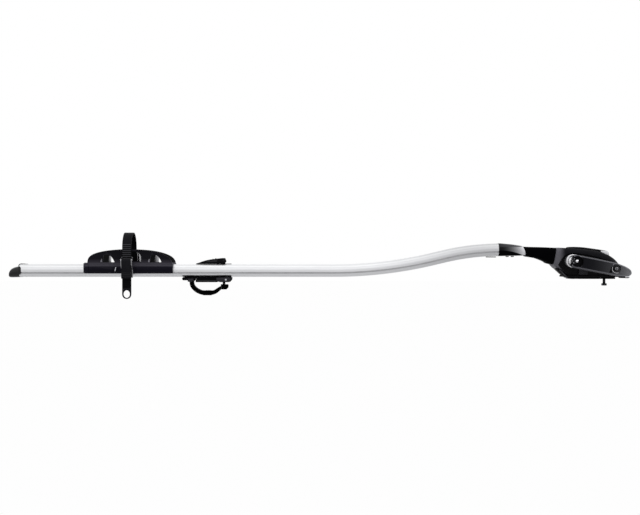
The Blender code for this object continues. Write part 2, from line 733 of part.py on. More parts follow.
def build_skewer_nut(mats):
    """Lobed nut at the far end of the skewer."""
    outline = []
    for i in range(NUT_POINTS):
        t = 2 * pi * i / NUT_POINTS
        r = NUT_R + NUT_LOBE * cos(NUT_LOBES * t)
        outline.append((r * cos(t), r * sin(t)))
    nut = prism("skewer_nut", shift(outline, SKEW_X, SKEW_Z), NUT_Y0, NUT_Y1, along_y,
                mats["black"], 1.2, origin=(SKEW_X, 63, SKEW_Z))
    carve(nut, [bore(along_y, (SKEW_X, SKEW_Z), 4.6, 50, 80, 24)])


def build_skewer_lever(mats):
    """Cam profile in the (u, y) plane, trimmed to the lever's side outline."""
    seat = CUP_Y - CUP_T - PIN_Y
    # the cam faces the cup (+Y) and turns away from the lever tip
    flank = [(-dx, PIN_Y - dz) for dx, dz in cam(seat, SKEW_STROKE, SKEW_OPEN)]
    contour = flank[::-1] + [(6.0, PIN_Y + seat - CAM_GAP)] + LEVER_INNER + LEVER_OUTER
    lever = prism("skewer_lever", contour, -17, 17, along_lever_w, mats["lever"])
    carve(lever, [prism("side", LEVER_SIDE, -40, -100, along_lever_y)], "INTERSECT")
    lock = (LOCK_U, LOCK_W)
    carve(lever, [
        skewer_pin_bore(),
        # slot so the end of the rod stays clear through the swing
        prism("eye_slot", EYE_SLOT, -EYE_SLOT_HALF, EYE_SLOT_HALF, along_lever_w),
        bore(along_lever_y, lock, BARREL_R, -50, -100, 28),
        bore(along_lever_y, lock, 8.9, -77.0, -100, 28),
    ])
    set_origin(lever, (SKEW_X, PIN_Y, SKEW_Z))


def build_lock(mats):
    """Bright ring in the lever's outer face, and a plug with a tang at its inner end."""
    lathe("lock_ring", LOCK_RING, along_lever_y(LOCK_U, LOCK_W, -77.2), (0, -1, 0), 24,
          mats["chrome"])
    plug = lathe("lock_plug", LOCK_PLUG, along_lever_y(LOCK_U, LOCK_W, -57.6), (0, -1, 0), 28,
                 mats["steel"], origin=along_lever_y(LOCK_U, LOCK_W, -66))
    tang = prism("tang", shift(LOCK_TANG, LOCK_U, LOCK_W), -57.7, -59.9, along_lever_y)
    key_slot = prism("key_slot", shift(KEY_SLOT, LOCK_U, LOCK_W), -79.0, -84.0, along_lever_y)
    carve(plug, [tang], "UNION")
    carve(plug, [key_slot])


# ============================================================================
# front clamp
# ============================================================================
CLAMP_LEVER = [                # (x, z), on from the cam: over the top, then back underneath
    (CLAMP_X + 7.0, 55.0), (CLAMP_X + 6.2, 59.5), (CLAMP_X + 4.8, 61.8), (22.5, 64.8),
    (0.0, 68.2), (-22.5, 71.0), (-47.0, 71.6), (-51.5, 70.6), (-51.7, 66.4), (-49.0, 64.6),
    (-16.0, 63.2), (6.0, 60.8), (13.0, 57.6), (17.5, 50.0), (22.5, 43.6),
    (26.0, CLAMP_SEAT + CAM_GAP)]
CLAMP_LEVER_HALF_W = 14.6
TRUNNION_R, TRUNNION_HALF = 5.0, 14.2
T_BOLT_BOTTOM = -15.3
T_BOLT = [                     # (radius, z)
    (0, T_BOLT_BOTTOM), (1.6, T_BOLT_BOTTOM), (3.0, -14.0), (3.0, 55.4), (2.4, 56.0), (0, 56.0)]
T_HEAD = rect(-5.2, -3.4, 5.2, 3.4)  # (x, y) about the bolt
T_HEAD_TOP = -10.2


def build_clamp_lever(mats):
    flank = shift(cam(CLAMP_Z - CLAMP_SEAT, CLAMP_STROKE, CLAMP_OPEN), CLAMP_X, CLAMP_Z)
    lever = prism("clamp_lever", flank + CLAMP_LEVER, -CLAMP_LEVER_HALF_W, CLAMP_LEVER_HALF_W,
                  along_y, mats["black"])
    carve(lever, [
        bore(along_y, (CLAMP_X, CLAMP_Z), TRUNNION_R + 0.35, -30, 30, 24),
        # slot for the bolt, open to the bottom and front
        box("bolt_slot", (CLAMP_X - 5.4, -4.3, 30), (60, 4.3, 56.6)),
    ])
    set_origin(lever, (CLAMP_X, 0, CLAMP_Z))


def build_clamp_bolt(mats):
    """Cross trunnion in the lever, T-bolt through it, and the plate the cam bears on."""
    trunnion = rod("clamp_trunnion", (CLAMP_X, -TRUNNION_HALF, CLAMP_Z),
                   (CLAMP_X, TRUNNION_HALF, CLAMP_Z), TRUNNION_R, 28, mats["steel"], 0.4,
                   origin=(CLAMP_X, 0, CLAMP_Z))
    carve(trunnion, [bore(along_z, (CLAMP_X, 0), 3.35, 40, 70, 20)])
    bolt = lathe("t_bolt", T_BOLT, (CLAMP_X, 0, 0), (0, 0, 1), 24, mats["steel"],
                 origin=(CLAMP_X, 0, 0))
    head = prism("t_head", shift(T_HEAD, CLAMP_X, 0), T_BOLT_BOTTOM, T_HEAD_TOP, along_z,
                 bevel=0.8)
    carve(bolt, [head], "UNION")
    plate = box("clamp_wear_plate", (19.5, -14.4, 39.8), (46.0, 14.4, CLAMP_SEAT),
                mats["steel"], 0.3)
    carve(plate, [bore(along_z, (CLAMP_X, 0), BOLT_HOLE_R, 30, 60, 24)])


# ============================================================================
# wheel cradle
# ============================================================================
SKIRT_Z = 13.0
SKIRT_END_LIFT = 1.5           # the skirts are this much shorter at both ends
WING_BASE, WING_RISE = 31.5, 34.6
WING_MIN = 34.5
WING_POWER_REAR, WING_POWER_FRONT = 0.285, 0.39
WING_STEPS = 20
# Windows through the wings, as (x, z)
NEAR_WINDOW = [
    (-1049.0, 38.4), (-1048.0, 57.0), (-1042.0, 61.5), (-1012.5, 61.5), (-1006.5, 54.0),
    (-1004.0, 46.0), (-1003.2, 38.4)]
FAR_WINDOW = [
    (-1018.4, 38.4), (-1020.2, 61.0), (-1012.5, 60.8), (-1006.5, 54.0), (-1004.0, 46.0),
    (-1003.2, 38.4)]
FAR_SLIT = [(-1023.6, 38.4), (-1023.6, 60.4), (-1022.2, 60.4), (-1020.6, 38.4)]
SIDE_WINDOW = [                # x from the window's rear edge
    (0.0, 37.0), (2.6, 51.5), (4.4, 53.2), (15.0, 53.2), (20.5, 49.5), (24.5, 44.0),
    (27.4, 37.0)]
SIDE_WINDOWS = [(-1091.0, 1.0), (-985.6, 0.95)]  # (rear edge x, length scale)
WINDOW_Y0, WINDOW_Y1 = 15.0, 45.0
CRADLE_SCREW = [               # (radius, height), from the inner end out to the recessed head
    (0, -7.4), (2.6, -7.0), (2.6, -2.6), (4.8, -2.6), (4.8, -0.7), (4.2, 0), (1.4, 0),
    (1.4, -1.4), (0, -1.4)]


def wing_height(x):
    u = min(abs((x - WING_X) / WING_HALF), 1.0)
    power = WING_POWER_REAR if x < WING_X else WING_POWER_FRONT
    return WING_BASE + WING_RISE * max(1 - u * u, 0.0) ** power


def cradle_outline(x):
    """Closed section (y, z) at station x: skirts down the tube sides, wings up beside the wheel."""
    at_end = abs(x - CRADLE_X) / SKIRT_HALF > 0.985
    skirt = SKIRT_Z + (SKIRT_END_LIFT if at_end else 0.0)
    top = max(wing_height(x), WING_MIN)
    k = (top - WING_MIN) / 32.0        # 0 at the ends to about 1 at the tallest
    far = [
        (23.4, skirt), (28.2, skirt), (29.6, 24.0), (30.2, 31.0), (29.0, 32.2),
        (29.8 + 2.5 * k, 32.2 + (top - 32.2) * 0.5),
        (31.0 + 4.0 * k, top - 1.0),
        (30.2 + 4.0 * k, top),
        (28.0 + 4.2 * k, top),
        (27.2 + 4.0 * k, top - 1.2),
        (24.6 + 2.2 * k, 33.6 + (top - 33.4) * 0.42),
        (19.0, 36.4), (8.0, 34.6)]
    near = [(-y, z) for y, z in reversed(far)]
    under = [(-23.4, 27.0), (-19.0, 32.0), (-12.0, 32.9), (12.0, 32.9), (19.0, 32.0),
             (23.4, 27.0)]
    return far + near + under


def cradle_stations():
    """The wings stop short of the skirts, more so at the rear end."""
    rear = CRADLE_X - SKIRT_HALF
    wing = [WING_X - WING_HALF * cos(pi * i / WING_STEPS) for i in range(WING_STEPS + 1)]
    return [rear, rear + 1.5, -1124.6] + wing + [CRADLE_X + SKIRT_HALF]


def cradle_rail(side):
    """Rail that runs in the tube groove on one side."""
    z = AXIS_Z + GROOVE_Z
    outline = [(side * 23.8, z - 1.3), (side * 22.1, z - 0.9),
               (side * 22.1, z + 0.9), (side * 23.8, z + 1.3)]
    return prism("rail", outline, CRADLE_X - RAIL_HALF, CRADLE_X + RAIL_HALF, along_x)


def window(outline, side):
    return prism("window", outline, side * WINDOW_Y0, side * WINDOW_Y1, along_y)


def rivet_bores(start, end):
    """Holes for the two buckle rivets."""
    return [bore(along_y, (STRAP_X + side * RIVET_DX, RIVET_Z), 2.3, start, end, 16)
            for side in (-1, 1)]


def build_cradle(mats):
    rows = [[(x, y, z) for y, z in cradle_outline(x)] for x in cradle_stations()]
    cradle = loft("wheel_cradle", rows, mats["plastic"], origin=(CRADLE_X, 0, AXIS_Z))
    near_boss = box("boss", (STRAP_X - 11.5, -36.7, 14.0), (STRAP_X + 11.5, -26.0, 38.0))
    far_boss = box("boss", (STRAP_X - 8.0, 24.4, 41.5), (STRAP_X + 8.0, 29.0, 53.0))
    for part in (cradle_rail(-1), near_boss, cradle_rail(1), far_boss):
        carve(cradle, [part], "UNION")
    # pocket for the strap against the inner face of the far wing
    cuts = [box("pocket", (STRAP_X - 10.6, 20.5, 37.9), (STRAP_X + 10.6, 24.4, 75.0)),
            window(FAR_SLIT, 1)]
    for side, middle in ((-1, NEAR_WINDOW), (1, FAR_WINDOW)):
        cuts.append(window(middle, side))
        for x0, k in SIDE_WINDOWS:
            cuts.append(window([(x0 + dx * k, z) for dx, z in SIDE_WINDOW], side))
    carve(cradle, cuts)
    carve(cradle, [bore(along_y, (STRAP_X, ANCHOR_Z), 2.8, 15.0, 50, 18)]
          + rivet_bores(-28.5, -50)
          + [bore(along_y, LOCK_SCREW, 2.9, -20.0, -50, 18)])


def build_cradle_screw(mats):
    x, z = LOCK_SCREW
    lathe("cradle_lock_screw", CRADLE_SCREW, (x, -32.6, z), (0, -1, 0), 14, mats["steel"])


# ============================================================================
# strap: two halves meeting at the top of the loop
# ============================================================================
TOOTH_COUNT = 19
TOOTH_TOP = 64.0
TOOTH_PITCH = 4.55
TOOTH_DEPTH = 0.8
STRAP_FAR_END, STRAP_TAIL_END = 38.5, -44.0
TAIL_EYE_Z = -32.6
TAIL_EYE_HALF_W, TAIL_EYE_HALF_H = 7.4, 8.6
ANCHOR_SCREW = [               # (radius, height)
    (0, 0), (2.5, 0), (2.5, 12.8), (5.0, 12.8), (5.0, 14.2), (4.0, 15.2), (0, 15.2)]


def loop_arc(r):
    """Far quarter of the loop (y, z), from its side up to just short of its top."""
    return arc(LOOP_Y, LOOP_Z, r, 0, 90 - degrees(LOOP_HALF_GAP / LOOP_R), LOOP_STEPS)


def strap_half(name, outline, mats):
    return prism(name, outline, STRAP_X - STRAP_HALF_W, STRAP_X + STRAP_HALF_W, along_x,
                 mats["strap"])


def build_strap_loop(mats):
    """Far half; its end hangs inside the far wing."""
    outline = [(LOOP_Y + STRAP_FACE_R0, STRAP_FAR_END), (LOOP_Y + STRAP_FACE_R1, STRAP_FAR_END)]
    outline += loop_arc(STRAP_FACE_R1) + loop_arc(STRAP_FACE_R0)[::-1]
    strap = strap_half("strap_loop", outline, mats)
    carve(strap, [bore(along_y, (STRAP_X, ANCHOR_Z), 2.8, 10, 60, 18)])


def build_strap_tail(mats):
    """Near half, with teeth on its outer face and an eye near its lower end."""
    inner_y, outer_y = LOOP_Y - STRAP_FACE_R0, LOOP_Y - STRAP_FACE_R1
    outer = [(2 * LOOP_Y - y, z) for y, z in reversed(loop_arc(STRAP_FACE_R1))]
    inner = [(2 * LOOP_Y - y, z) for y, z in loop_arc(STRAP_FACE_R0)]
    teeth = []
    for i in range(TOOTH_COUNT):
        z = TOOTH_TOP - TOOTH_PITCH * i
        teeth += [(outer_y, z), (outer_y - TOOTH_DEPTH, z - 2.6), (outer_y, z - 2.8)]
    end = [(outer_y, -24.0), (outer_y, STRAP_TAIL_END), (inner_y, STRAP_TAIL_END)]
    strap = strap_half("strap_tail", outer + teeth + end + inner, mats)
    eye = [(STRAP_X + TAIL_EYE_HALF_W * cos(2 * pi * i / 20),
            TAIL_EYE_Z + TAIL_EYE_HALF_H * sin(2 * pi * i / 20)) for i in range(20)]
    carve(strap, [prism("tail_eye", eye, -30, -60, along_y)])


def build_strap_anchor(mats):
    lathe("strap_anchor_screw", ANCHOR_SCREW, (STRAP_X, 20.3, ANCHOR_Z), (0, 1, 0), 22,
          mats["steel"])


# ============================================================================
# buckle
# ============================================================================
BUCKLE_HALF_W = 12.4
CHEEK_INNER = 10.7             # inner face of a cheek, from the middle
PADDLE_HALF_W, GRIP_HALF_W = 10.3, 10.9
CHEEK = ([(-38.2, 20.0), (-50.5, 30.0)] + arc(BUCKLE_Y, BUCKLE_Z, 3.4, 200, 90, 6)
         + [(-45.5, 48.0), (-38.2, 48.6)])                   # (y, z)
PADDLE_END = [(-47.4, 6.0), (-47.8, 1.8), (-50.6, 1.2), (-52.6, 4.0), (-53.0, 14.0)]  # (y, z)
PADDLE = (                     # (y, z); round nose, then a tooth just below the pin
    arc(BUCKLE_Y, BUCKLE_Z, 3.3, 95, -60, 8)
    + [(BUCKLE_Y + 3.4, BUCKLE_Z - 4.6), (BUCKLE_Y + 1.6, BUCKLE_Z - 6.4), (-47.2, 30.0)]
    + PADDLE_END
    + [(-53.4, 36.0), (-53.0, 42.0), (-51.4, 44.6)])
GRIP = [(-47.6, 18.5)] + PADDLE_END + [(-53.1, 18.5)]        # (y, z)
RIVET = [(0, 0), (2.0, 0), (2.0, 10.2), (3.5, 10.2), (3.1, 11.2), (0, 11.4)]  # (radius, height)


def buckle_pin_bore():
    return bore(along_x, (BUCKLE_Y, BUCKLE_Z), PIN_HOLE_R, STRAP_X - 20, STRAP_X + 20, 18)


def build_buckle_base(mats):
    """Wall plate with two cheeks that carry the pin, and its rivets."""
    base = box("buckle_base", (STRAP_X - BUCKLE_HALF_W, -38.8, 3.0),
               (STRAP_X + BUCKLE_HALF_W, -37.0, 49.0), mats["steel"], 0.3)
    for start, end in ((-BUCKLE_HALF_W, -CHEEK_INNER), (CHEEK_INNER, BUCKLE_HALF_W)):
        cheek = prism("cheek", CHEEK, STRAP_X + start, STRAP_X + end, along_x)
        carve(base, [cheek], "UNION")
    carve(base, [buckle_pin_bore()] + rivet_bores(-30, -45))
    for i, side in enumerate((-1, 1)):
        lathe("buckle_rivet_%d" % (i + 1), RIVET, (STRAP_X + RIVET_DX * side, -28.9, RIVET_Z),
              (0, -1, 0), 18, mats["steel"])
    rod("buckle_pin", (STRAP_X - 13.2, BUCKLE_Y, BUCKLE_Z), (STRAP_X + 13.2, BUCKLE_Y, BUCKLE_Z),
        THIN_PIN_R, 18, mats["steel"], 0.3)


def build_buckle_lever(mats):
    """Paddle with a wider grip at its lower end."""
    lever = prism("buckle_lever", PADDLE, STRAP_X - PADDLE_HALF_W, STRAP_X + PADDLE_HALF_W,
                  along_x, mats["plastic"], origin=(STRAP_X, BUCKLE_Y, BUCKLE_Z))
    grip = prism("grip", GRIP, STRAP_X - GRIP_HALF_W, STRAP_X + GRIP_HALF_W, along_x)
    carve(lever, [grip], "UNION")
    carve(lever, [buckle_pin_bore()])


# ============================================================================
# rear clamp
# ============================================================================
SADDLE_TOP = TUBE_BOTTOM - 0.4
SADDLE = [                     # (x, z)
    (-915.0, -0.9), (-913.0, -3.2), (-902.5, -3.2), (-902.5, 0.6), (-888.0, 0.6),
    (-888.0, -0.6), (-836.0, -0.6), (-836.0, -5.5), (-830.0, -7.4), (-811.0, -7.4),
    (-806.5, -2.5), (-806.0, 2.4), (-808.5, SADDLE_TOP), (-912.5, SADDLE_TOP), (-915.0, 2.0)]
SADDLE_HALF_W = 20.0
BAND_LUG = ([(-901.5, 2.0), (-901.5, -3.5)] + arc(BAND_X, BAND_Z, 5.0, 200, 340, 8)
            + [(-889.5, -3.5), (-889.5, 2.0)])               # (x, z)
FOOT_PAD = rect(-885.0, -7.4, -838.0, -1.0)                  # (x, z)
FOOT_PAD_HALF_W = 19.5
BAND_OUTER = [                 # (x, z), from the hinge round to the free end
    (-899.6, BAND_Z - 0.5), (-899.2, -8.0), (-898.0, -15.5), (-894.0, -22.0), (-886.5, -29.5),
    (-877.0, -34.4), (-868.0, -36.4), (-850.0, -36.4), (-842.5, -34.2), (-836.8, -30.0),
    (-831.0, -24.8)]
BAND_INNER = [                 # (x, z), from the free end back to the hinge
    (-831.0, -16.4), (-837.0, -20.0), (-843.5, -25.6), (-852.0, -26.9), (-866.0, -26.9),
    (-875.5, -25.4), (-884.0, -21.0), (-890.5, -14.6), (-892.2, -8.0), (-891.4, BAND_Z - 0.5)]
BAND_HALF_W = 13.8
BAND_BLOCK = [                 # (x, z)
    (-829.6, -12.4), (-829.6, -19.8), (-815.4, -19.8), (-811.4, -21.6), (-810.4, -20.0),
    (-812.6, -16.0), (-812.0, -12.4)]
BLOCK_HALF_W = 11.0
REAR_BOLT = [                  # (radius, z)
    (0, -24.0), (6.0, -24.0), (6.8, -23.2), (6.8, -20.3), (3.0, -20.3),
    (3.0, REAR_PIN_Z + 3.0), (2.4, REAR_PIN_Z + 3.4), (0, REAR_PIN_Z + 3.4)]
REAR_PIN_R, REAR_PIN_HALF = 1.95, 12.6
REAR_PIN_HOLE_R = 2.25
REAR_LEVER = [                 # (x, z), on from the cam: over the top, then back underneath
    (REAR_X + 3.3, REAR_PIN_Z + 2.0), (REAR_X + 2.6, REAR_PIN_Z + 4.2), (REAR_X + 1.2, 46.6),
    (-831.0, 46.0), (-844.0, 44.4), (-858.0, 42.8), (-868.0, 40.2), (-877.0, 36.6),
    (-884.0, 34.4), (-885.4, 33.4), (-884.0, TUBE_TOP + 0.5), (-848.0, TUBE_TOP + 0.5),
    (-842.0, REAR_SEAT + CAM_GAP)]
REAR_LEVER_HALF_W = 13.0


def band_pin_bore():
    return bore(along_y, (BAND_X, BAND_Z), PIN_HOLE_R, -30, 30, 18)


def build_saddle(mats):
    """Saddle under the tube with lugs for the band pin, and its rubber pad."""
    saddle = prism("foot_saddle", SADDLE, -SADDLE_HALF_W, SADDLE_HALF_W, along_y, mats["black"])
    lug = prism("lug", BAND_LUG, -SADDLE_HALF_W, SADDLE_HALF_W, along_y)
    carve(saddle, [lug], "UNION")
    carve(saddle, [
        bore(along_z, (REAR_X, 0), REAR_HOLE_R, -20, 20, 22),
        # pocket in the underside around the bolt
        box("pocket", (-836.5, -12.0, -20), (REAR_X + 12.0, 12.0, -2.2)),
        band_pin_bore(),
        # gap between the lugs for the band
        box("band_gap", (BAND_X - 7.5, -14.4, -20), (BAND_X + 7.2, 14.4, 2.6)),
    ])
    prism("foot_pad", FOOT_PAD, -FOOT_PAD_HALF_W, FOOT_PAD_HALF_W, along_y, mats["rubber"], 0.6)


def build_band(mats):
    """Flexible band, a C open at the top and hinged at its rear end, with its pin."""
    rod("band_pin", (BAND_X, -20.6, BAND_Z), (BAND_X, 20.6, BAND_Z), THIN_PIN_R, 18,
        mats["steel"], 0.3)
    outline = BAND_OUTER + BAND_INNER + arc(BAND_X, BAND_Z, 4.1, 0, 180, 8)
    band = prism("clamp_band", outline, -BAND_HALF_W, BAND_HALF_W, along_y, mats["rubber"],
                 origin=(BAND_X, 0, BAND_Z))
    carve(band, [band_pin_bore()])


def build_band_block(mats):
    """Hooked block at the free end of the band, slotted for the bolt."""
    block = prism("band_block", BAND_BLOCK, -BLOCK_HALF_W, BLOCK_HALF_W, along_y, mats["steel"])
    carve(block, [box("bolt_slot", (-828.0, -4.6, -30), (-800.0, 4.6, -5))])


def build_rear_bolt(mats):
    """Bolt with a broad head under the block, its top end pierced by the cam pin."""
    bolt = lathe("rear_bolt", REAR_BOLT, (REAR_X, 0, 0), (0, 0, 1), 22, mats["steel"],
                 origin=REAR_PIVOT)
    carve(bolt, [bore(along_y, (REAR_X, REAR_PIN_Z), REAR_PIN_HOLE_R, -10, 10, 18)])
    rod("rear_cam_pin", (REAR_X, -REAR_PIN_HALF, REAR_PIN_Z), (REAR_X, REAR_PIN_HALF, REAR_PIN_Z),
        REAR_PIN_R, 18, mats["steel"], 0.3)


def build_rear_lever(mats):
    """Cam lever lying on the tube, and the plate the cam bears on."""
    flank = shift(cam(REAR_PIN_Z - REAR_SEAT, REAR_STROKE, REAR_OPEN), REAR_X, REAR_PIN_Z)
    lever = prism("rear_lever", flank + REAR_LEVER, -REAR_LEVER_HALF_W, REAR_LEVER_HALF_W,
                  along_y, mats["black"])
    carve(lever, [
        bore(along_y, (REAR_X, REAR_PIN_Z), REAR_PIN_HOLE_R, -30, 30, 18),
        # slot for the bolt, open to the bottom and front
        box("bolt_slot", (REAR_X - 4.8, -4.0, 20), (REAR_X + 20, 4.0, REAR_PIN_Z + 4.7)),
    ])
    set_origin(lever, REAR_PIVOT)
    plate = box("rear_wear_plate", (-841.0, -10.0, REAR_PLATE_BOTTOM), (-807.0, 10.0, REAR_SEAT),
                mats["steel"], 0.2)
    carve(plate, [bore(along_z, (REAR_X, 0), REAR_HOLE_R, 0, 60, 22)])


BUILDERS = (
    build_tube, build_end_cap,
    build_neck, build_housing, build_base_plate, build_front_pad, build_base_screws,
    build_collar, build_neck_underside, build_axle, build_lock_catch,
    build_skewer_rod, build_skewer_cup, build_skewer_nut, build_skewer_lever, build_lock,
    build_clamp_lever, build_clamp_bolt,
    build_cradle, build_cradle_screw,
    build_strap_loop, build_strap_tail, build_strap_anchor,
    build_buckle_base, build_buckle_lever,
    build_saddle, build_band, build_band_block, build_rear_bolt, build_rear_lever,
)


def main():
    clean_scene()
    mats = {key: make_material(*spec) for key, spec in MATERIALS.items()}
    for build in BUILDERS:
        build(mats)


main()
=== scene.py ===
"""Looks of a fork-mount bicycle carrier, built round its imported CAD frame.

The beam runs along X: the fork clamp head is at the front (+X), the end cap, wheel cradle and
rear foot clamp toward the rear (-X). +Z is up. The near side is -Y, which faces the camera, and
the far side is +Y. Builders take millimetres and make meshes in metres; shaders work in metres.
"""
import bpy
import bmesh
import json
from math import sin, cos, pi, radians, hypot
from mathutils import Matrix, Vector


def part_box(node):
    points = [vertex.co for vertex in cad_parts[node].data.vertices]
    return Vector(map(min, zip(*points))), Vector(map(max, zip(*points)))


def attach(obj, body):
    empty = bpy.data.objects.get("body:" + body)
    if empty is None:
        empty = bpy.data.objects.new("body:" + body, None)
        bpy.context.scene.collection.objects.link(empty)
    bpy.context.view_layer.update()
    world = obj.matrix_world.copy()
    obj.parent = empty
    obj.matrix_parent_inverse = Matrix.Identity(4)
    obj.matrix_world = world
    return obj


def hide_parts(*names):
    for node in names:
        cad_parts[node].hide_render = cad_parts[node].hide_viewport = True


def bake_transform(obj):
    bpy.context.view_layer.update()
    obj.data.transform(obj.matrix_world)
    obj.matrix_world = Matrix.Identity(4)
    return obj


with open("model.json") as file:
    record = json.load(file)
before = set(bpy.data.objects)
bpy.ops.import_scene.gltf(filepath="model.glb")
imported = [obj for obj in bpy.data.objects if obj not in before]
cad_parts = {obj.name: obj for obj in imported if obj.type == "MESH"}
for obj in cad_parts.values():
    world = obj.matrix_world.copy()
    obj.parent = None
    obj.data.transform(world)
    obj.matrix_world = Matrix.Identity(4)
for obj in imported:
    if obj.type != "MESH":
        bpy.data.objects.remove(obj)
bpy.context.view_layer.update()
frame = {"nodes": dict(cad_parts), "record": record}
MM = 0.001
NODES = frame["nodes"]
BODY_OF = {n: b for b, ns in frame["record"]["behaviour"]["bodies"].items() for n in ns}
SLOT_OF = {s["node"]: s["material_slot"] for s in frame["record"]["subparts"]}
SIDES = ((-1, "near"), (1, "far"))


def cad_box(node):
    """Low and high corners of a CAD node, in millimetres."""
    low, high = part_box(node)
    return [v * 1000 for v in low], [v * 1000 for v in high]


# ============================================================================
# shader graph
# ============================================================================
INPUTS = {"base": "Base Color", "rough": "Roughness", "metal": "Metallic",
          "spec": "Specular IOR Level", "coat": "Coat Weight", "coat_rough": "Coat Roughness",
          "aniso": "Anisotropic"}
MID = (0.3, 0.7)    # the span a noise mostly covers


def shade(colour, gain, lift=0.0):
    return tuple(min(1.0, c * gain + lift) for c in colour)


class Graph:
    """A material being built; most methods add nodes and return an output socket."""

    def __init__(self, name):
        self.material = bpy.data.materials.new(name)
        self.material.use_nodes = True
        self.tree = self.material.node_tree
        self.bsdf = next(n for n in self.tree.nodes if n.type == "BSDF_PRINCIPLED")
        self.place = self.node("ShaderNodeTexCoord").outputs["Object"]

    def node(self, kind, **settings):
        new = self.tree.nodes.new(kind)
        for key, value in settings.items():
            setattr(new, key, value)
        return new

    def feed(self, socket, value):
        """Give an input a number, a colour or a link."""
        if isinstance(value, (int, float)):
            socket.default_value = value
        elif isinstance(value, tuple):
            socket.default_value = (*value, 1.0)
        else:
            self.tree.links.new(value, socket)

    def scaled(self, scale):
        new = self.node("ShaderNodeMapping")
        new.inputs["Scale"].default_value = scale if isinstance(scale, tuple) else (scale,) * 3
        self.feed(new.inputs["Vector"], self.place)
        return new.outputs["Vector"]

    def noise(self, scale, detail=3.0, rough=0.55):
        new = self.node("ShaderNodeTexNoise")
        new.inputs["Scale"].default_value = 1.0
        new.inputs["Detail"].default_value = detail
        new.inputs["Roughness"].default_value = rough
        self.feed(new.inputs["Vector"], self.scaled(scale))
        return new.outputs["Fac"]

    def cells(self, scale):
        new = self.node("ShaderNodeTexVoronoi")
        new.inputs["Scale"].default_value = 1.0
        self.feed(new.inputs["Vector"], self.scaled(scale))
        return new.outputs["Distance"]

    def fit(self, value, span, to=(0.0, 1.0), smooth=False):
        """Map a value from one span to another."""
        new = self.node("ShaderNodeMapRange")
        if smooth:
            new.interpolation_type = "SMOOTHSTEP"
        for key, number in zip(("From Min", "From Max", "To Min", "To Max"), (*span, *to)):
            new.inputs[key].default_value = number
        self.feed(new.inputs["Value"], value)
        return new.outputs["Result"]

    def ease(self, value, span, to=(0.0, 1.0)):
        return self.fit(value, span, to, smooth=True)

    def math(self, operation, first, second):
        new = self.node("ShaderNodeMath", operation=operation)
        self.feed(new.inputs[0], first)
        self.feed(new.inputs[1], second)
        return new.outputs[0]

    def add(self, first, second):
        return self.math("ADD", first, second)

    def mul(self, first, second):
        return self.math("MULTIPLY", first, second)

    def power(self, value, exponent):
        return self.math("POWER", value, exponent)

    def mix(self, factor, first, second):
        new = self.node("ShaderNodeMix", data_type="RGBA")
        for i, value in ((0, factor), (6, first), (7, second)):
            self.feed(new.inputs[i], value)
        return new.outputs[2]

    def axis(self, name):
        new = self.node("ShaderNodeSeparateXYZ")
        self.feed(new.inputs[0], self.place)
        return new.outputs[name]

    def edge_wear_and_highlight(self, colour, amount, pale, span=(0.52, 0.62)):
        """Pale colour on the convex edges: rubbed wear, and a painted edge highlight where the
        amount is large, as on the lever rims.
        """
        geometry = self.node("ShaderNodeNewGeometry")
        edge = self.fit(geometry.outputs["Pointiness"], span)
        return self.mix(self.mul(edge, amount), colour, pale)

    def clouded(self, colour, drift, tint, span=(0.4, 0.7)):
        """Faint patches of another tint."""
        return self.mix(self.mul(self.fit(drift, span), 0.12), colour, tint)

    def grain(self, scale):
        """Broad colour drift and fine moulding grain."""
        return self.noise(28.0, detail=4.0), self.noise(scale, detail=2.0, rough=0.6)

    def grain_rough(self, drift, fine, rough):
        return self.add(self.fit(drift, MID, to=(rough - 0.05, rough + 0.05)),
                        self.fit(fine, MID, to=(-0.04, 0.04)))

    def bump(self, *layers, height=0.00012):
        """Chained bumps; each layer is (height socket, strength)."""
        normal = None
        for socket, strength in layers:
            new = self.node("ShaderNodeBump")
            new.inputs["Strength"].default_value = strength
            new.inputs["Distance"].default_value = height
            self.feed(new.inputs["Height"], socket)
            if normal is not None:
                self.feed(new.inputs["Normal"], normal)
            normal = new.outputs["Normal"]
        self.feed(self.bsdf.inputs["Normal"], normal)

    def set(self, **values):
        for key, value in values.items():
            self.feed(self.bsdf.inputs[INPUTS[key]], value)


# ============================================================================
# materials
# ============================================================================
def plastic(name, base, rough=0.5, spec=0.35, grain=900.0, depth=0.25, wear=0.05, coat=0.0):
    """Moulded plastic: fine spark-eroded grain, soft colour drift, slightly rubbed edges."""
    g = Graph(name)
    drift, fine = g.grain(grain)
    colour = g.mix(g.fit(drift, (0.35, 0.65)), shade(base, 0.75), shade(base, 1.25))
    colour = g.edge_wear_and_highlight(colour, wear, shade(base, 3.0, lift=0.012))
    g.set(base=colour, spec=spec, rough=g.grain_rough(drift, fine, rough))
    if coat:
        g.set(coat=coat, coat_rough=0.06)
    g.bump((fine, depth), (g.cells(grain * 0.55), depth * 0.5))
    return g.material


def metal(name, base, rough, lines=(30.0, 900.0, 900.0), depth=0.08):
    """Plated or anodised metal: drawn lines, light handling marks."""
    g = Graph(name)
    drawn = g.noise(lines, detail=3.0, rough=0.6)
    spots = g.noise(55.0, detail=5.0, rough=0.65)
    colour = g.mix(g.fit(spots, (0.4, 0.7)), base, shade(base, 0.9))
    colour = g.edge_wear_and_highlight(colour, 0.2, shade(base, 1.25, lift=0.05))
    roughness = g.add(g.fit(drawn, MID, to=(rough - 0.06, rough + 0.06)),
                      g.fit(spots, (0.35, 0.75), to=(-0.03, 0.05)))
    g.set(base=colour, metal=1.0, rough=roughness)
    g.bump((drawn, depth), height=0.00008)
    return g.material


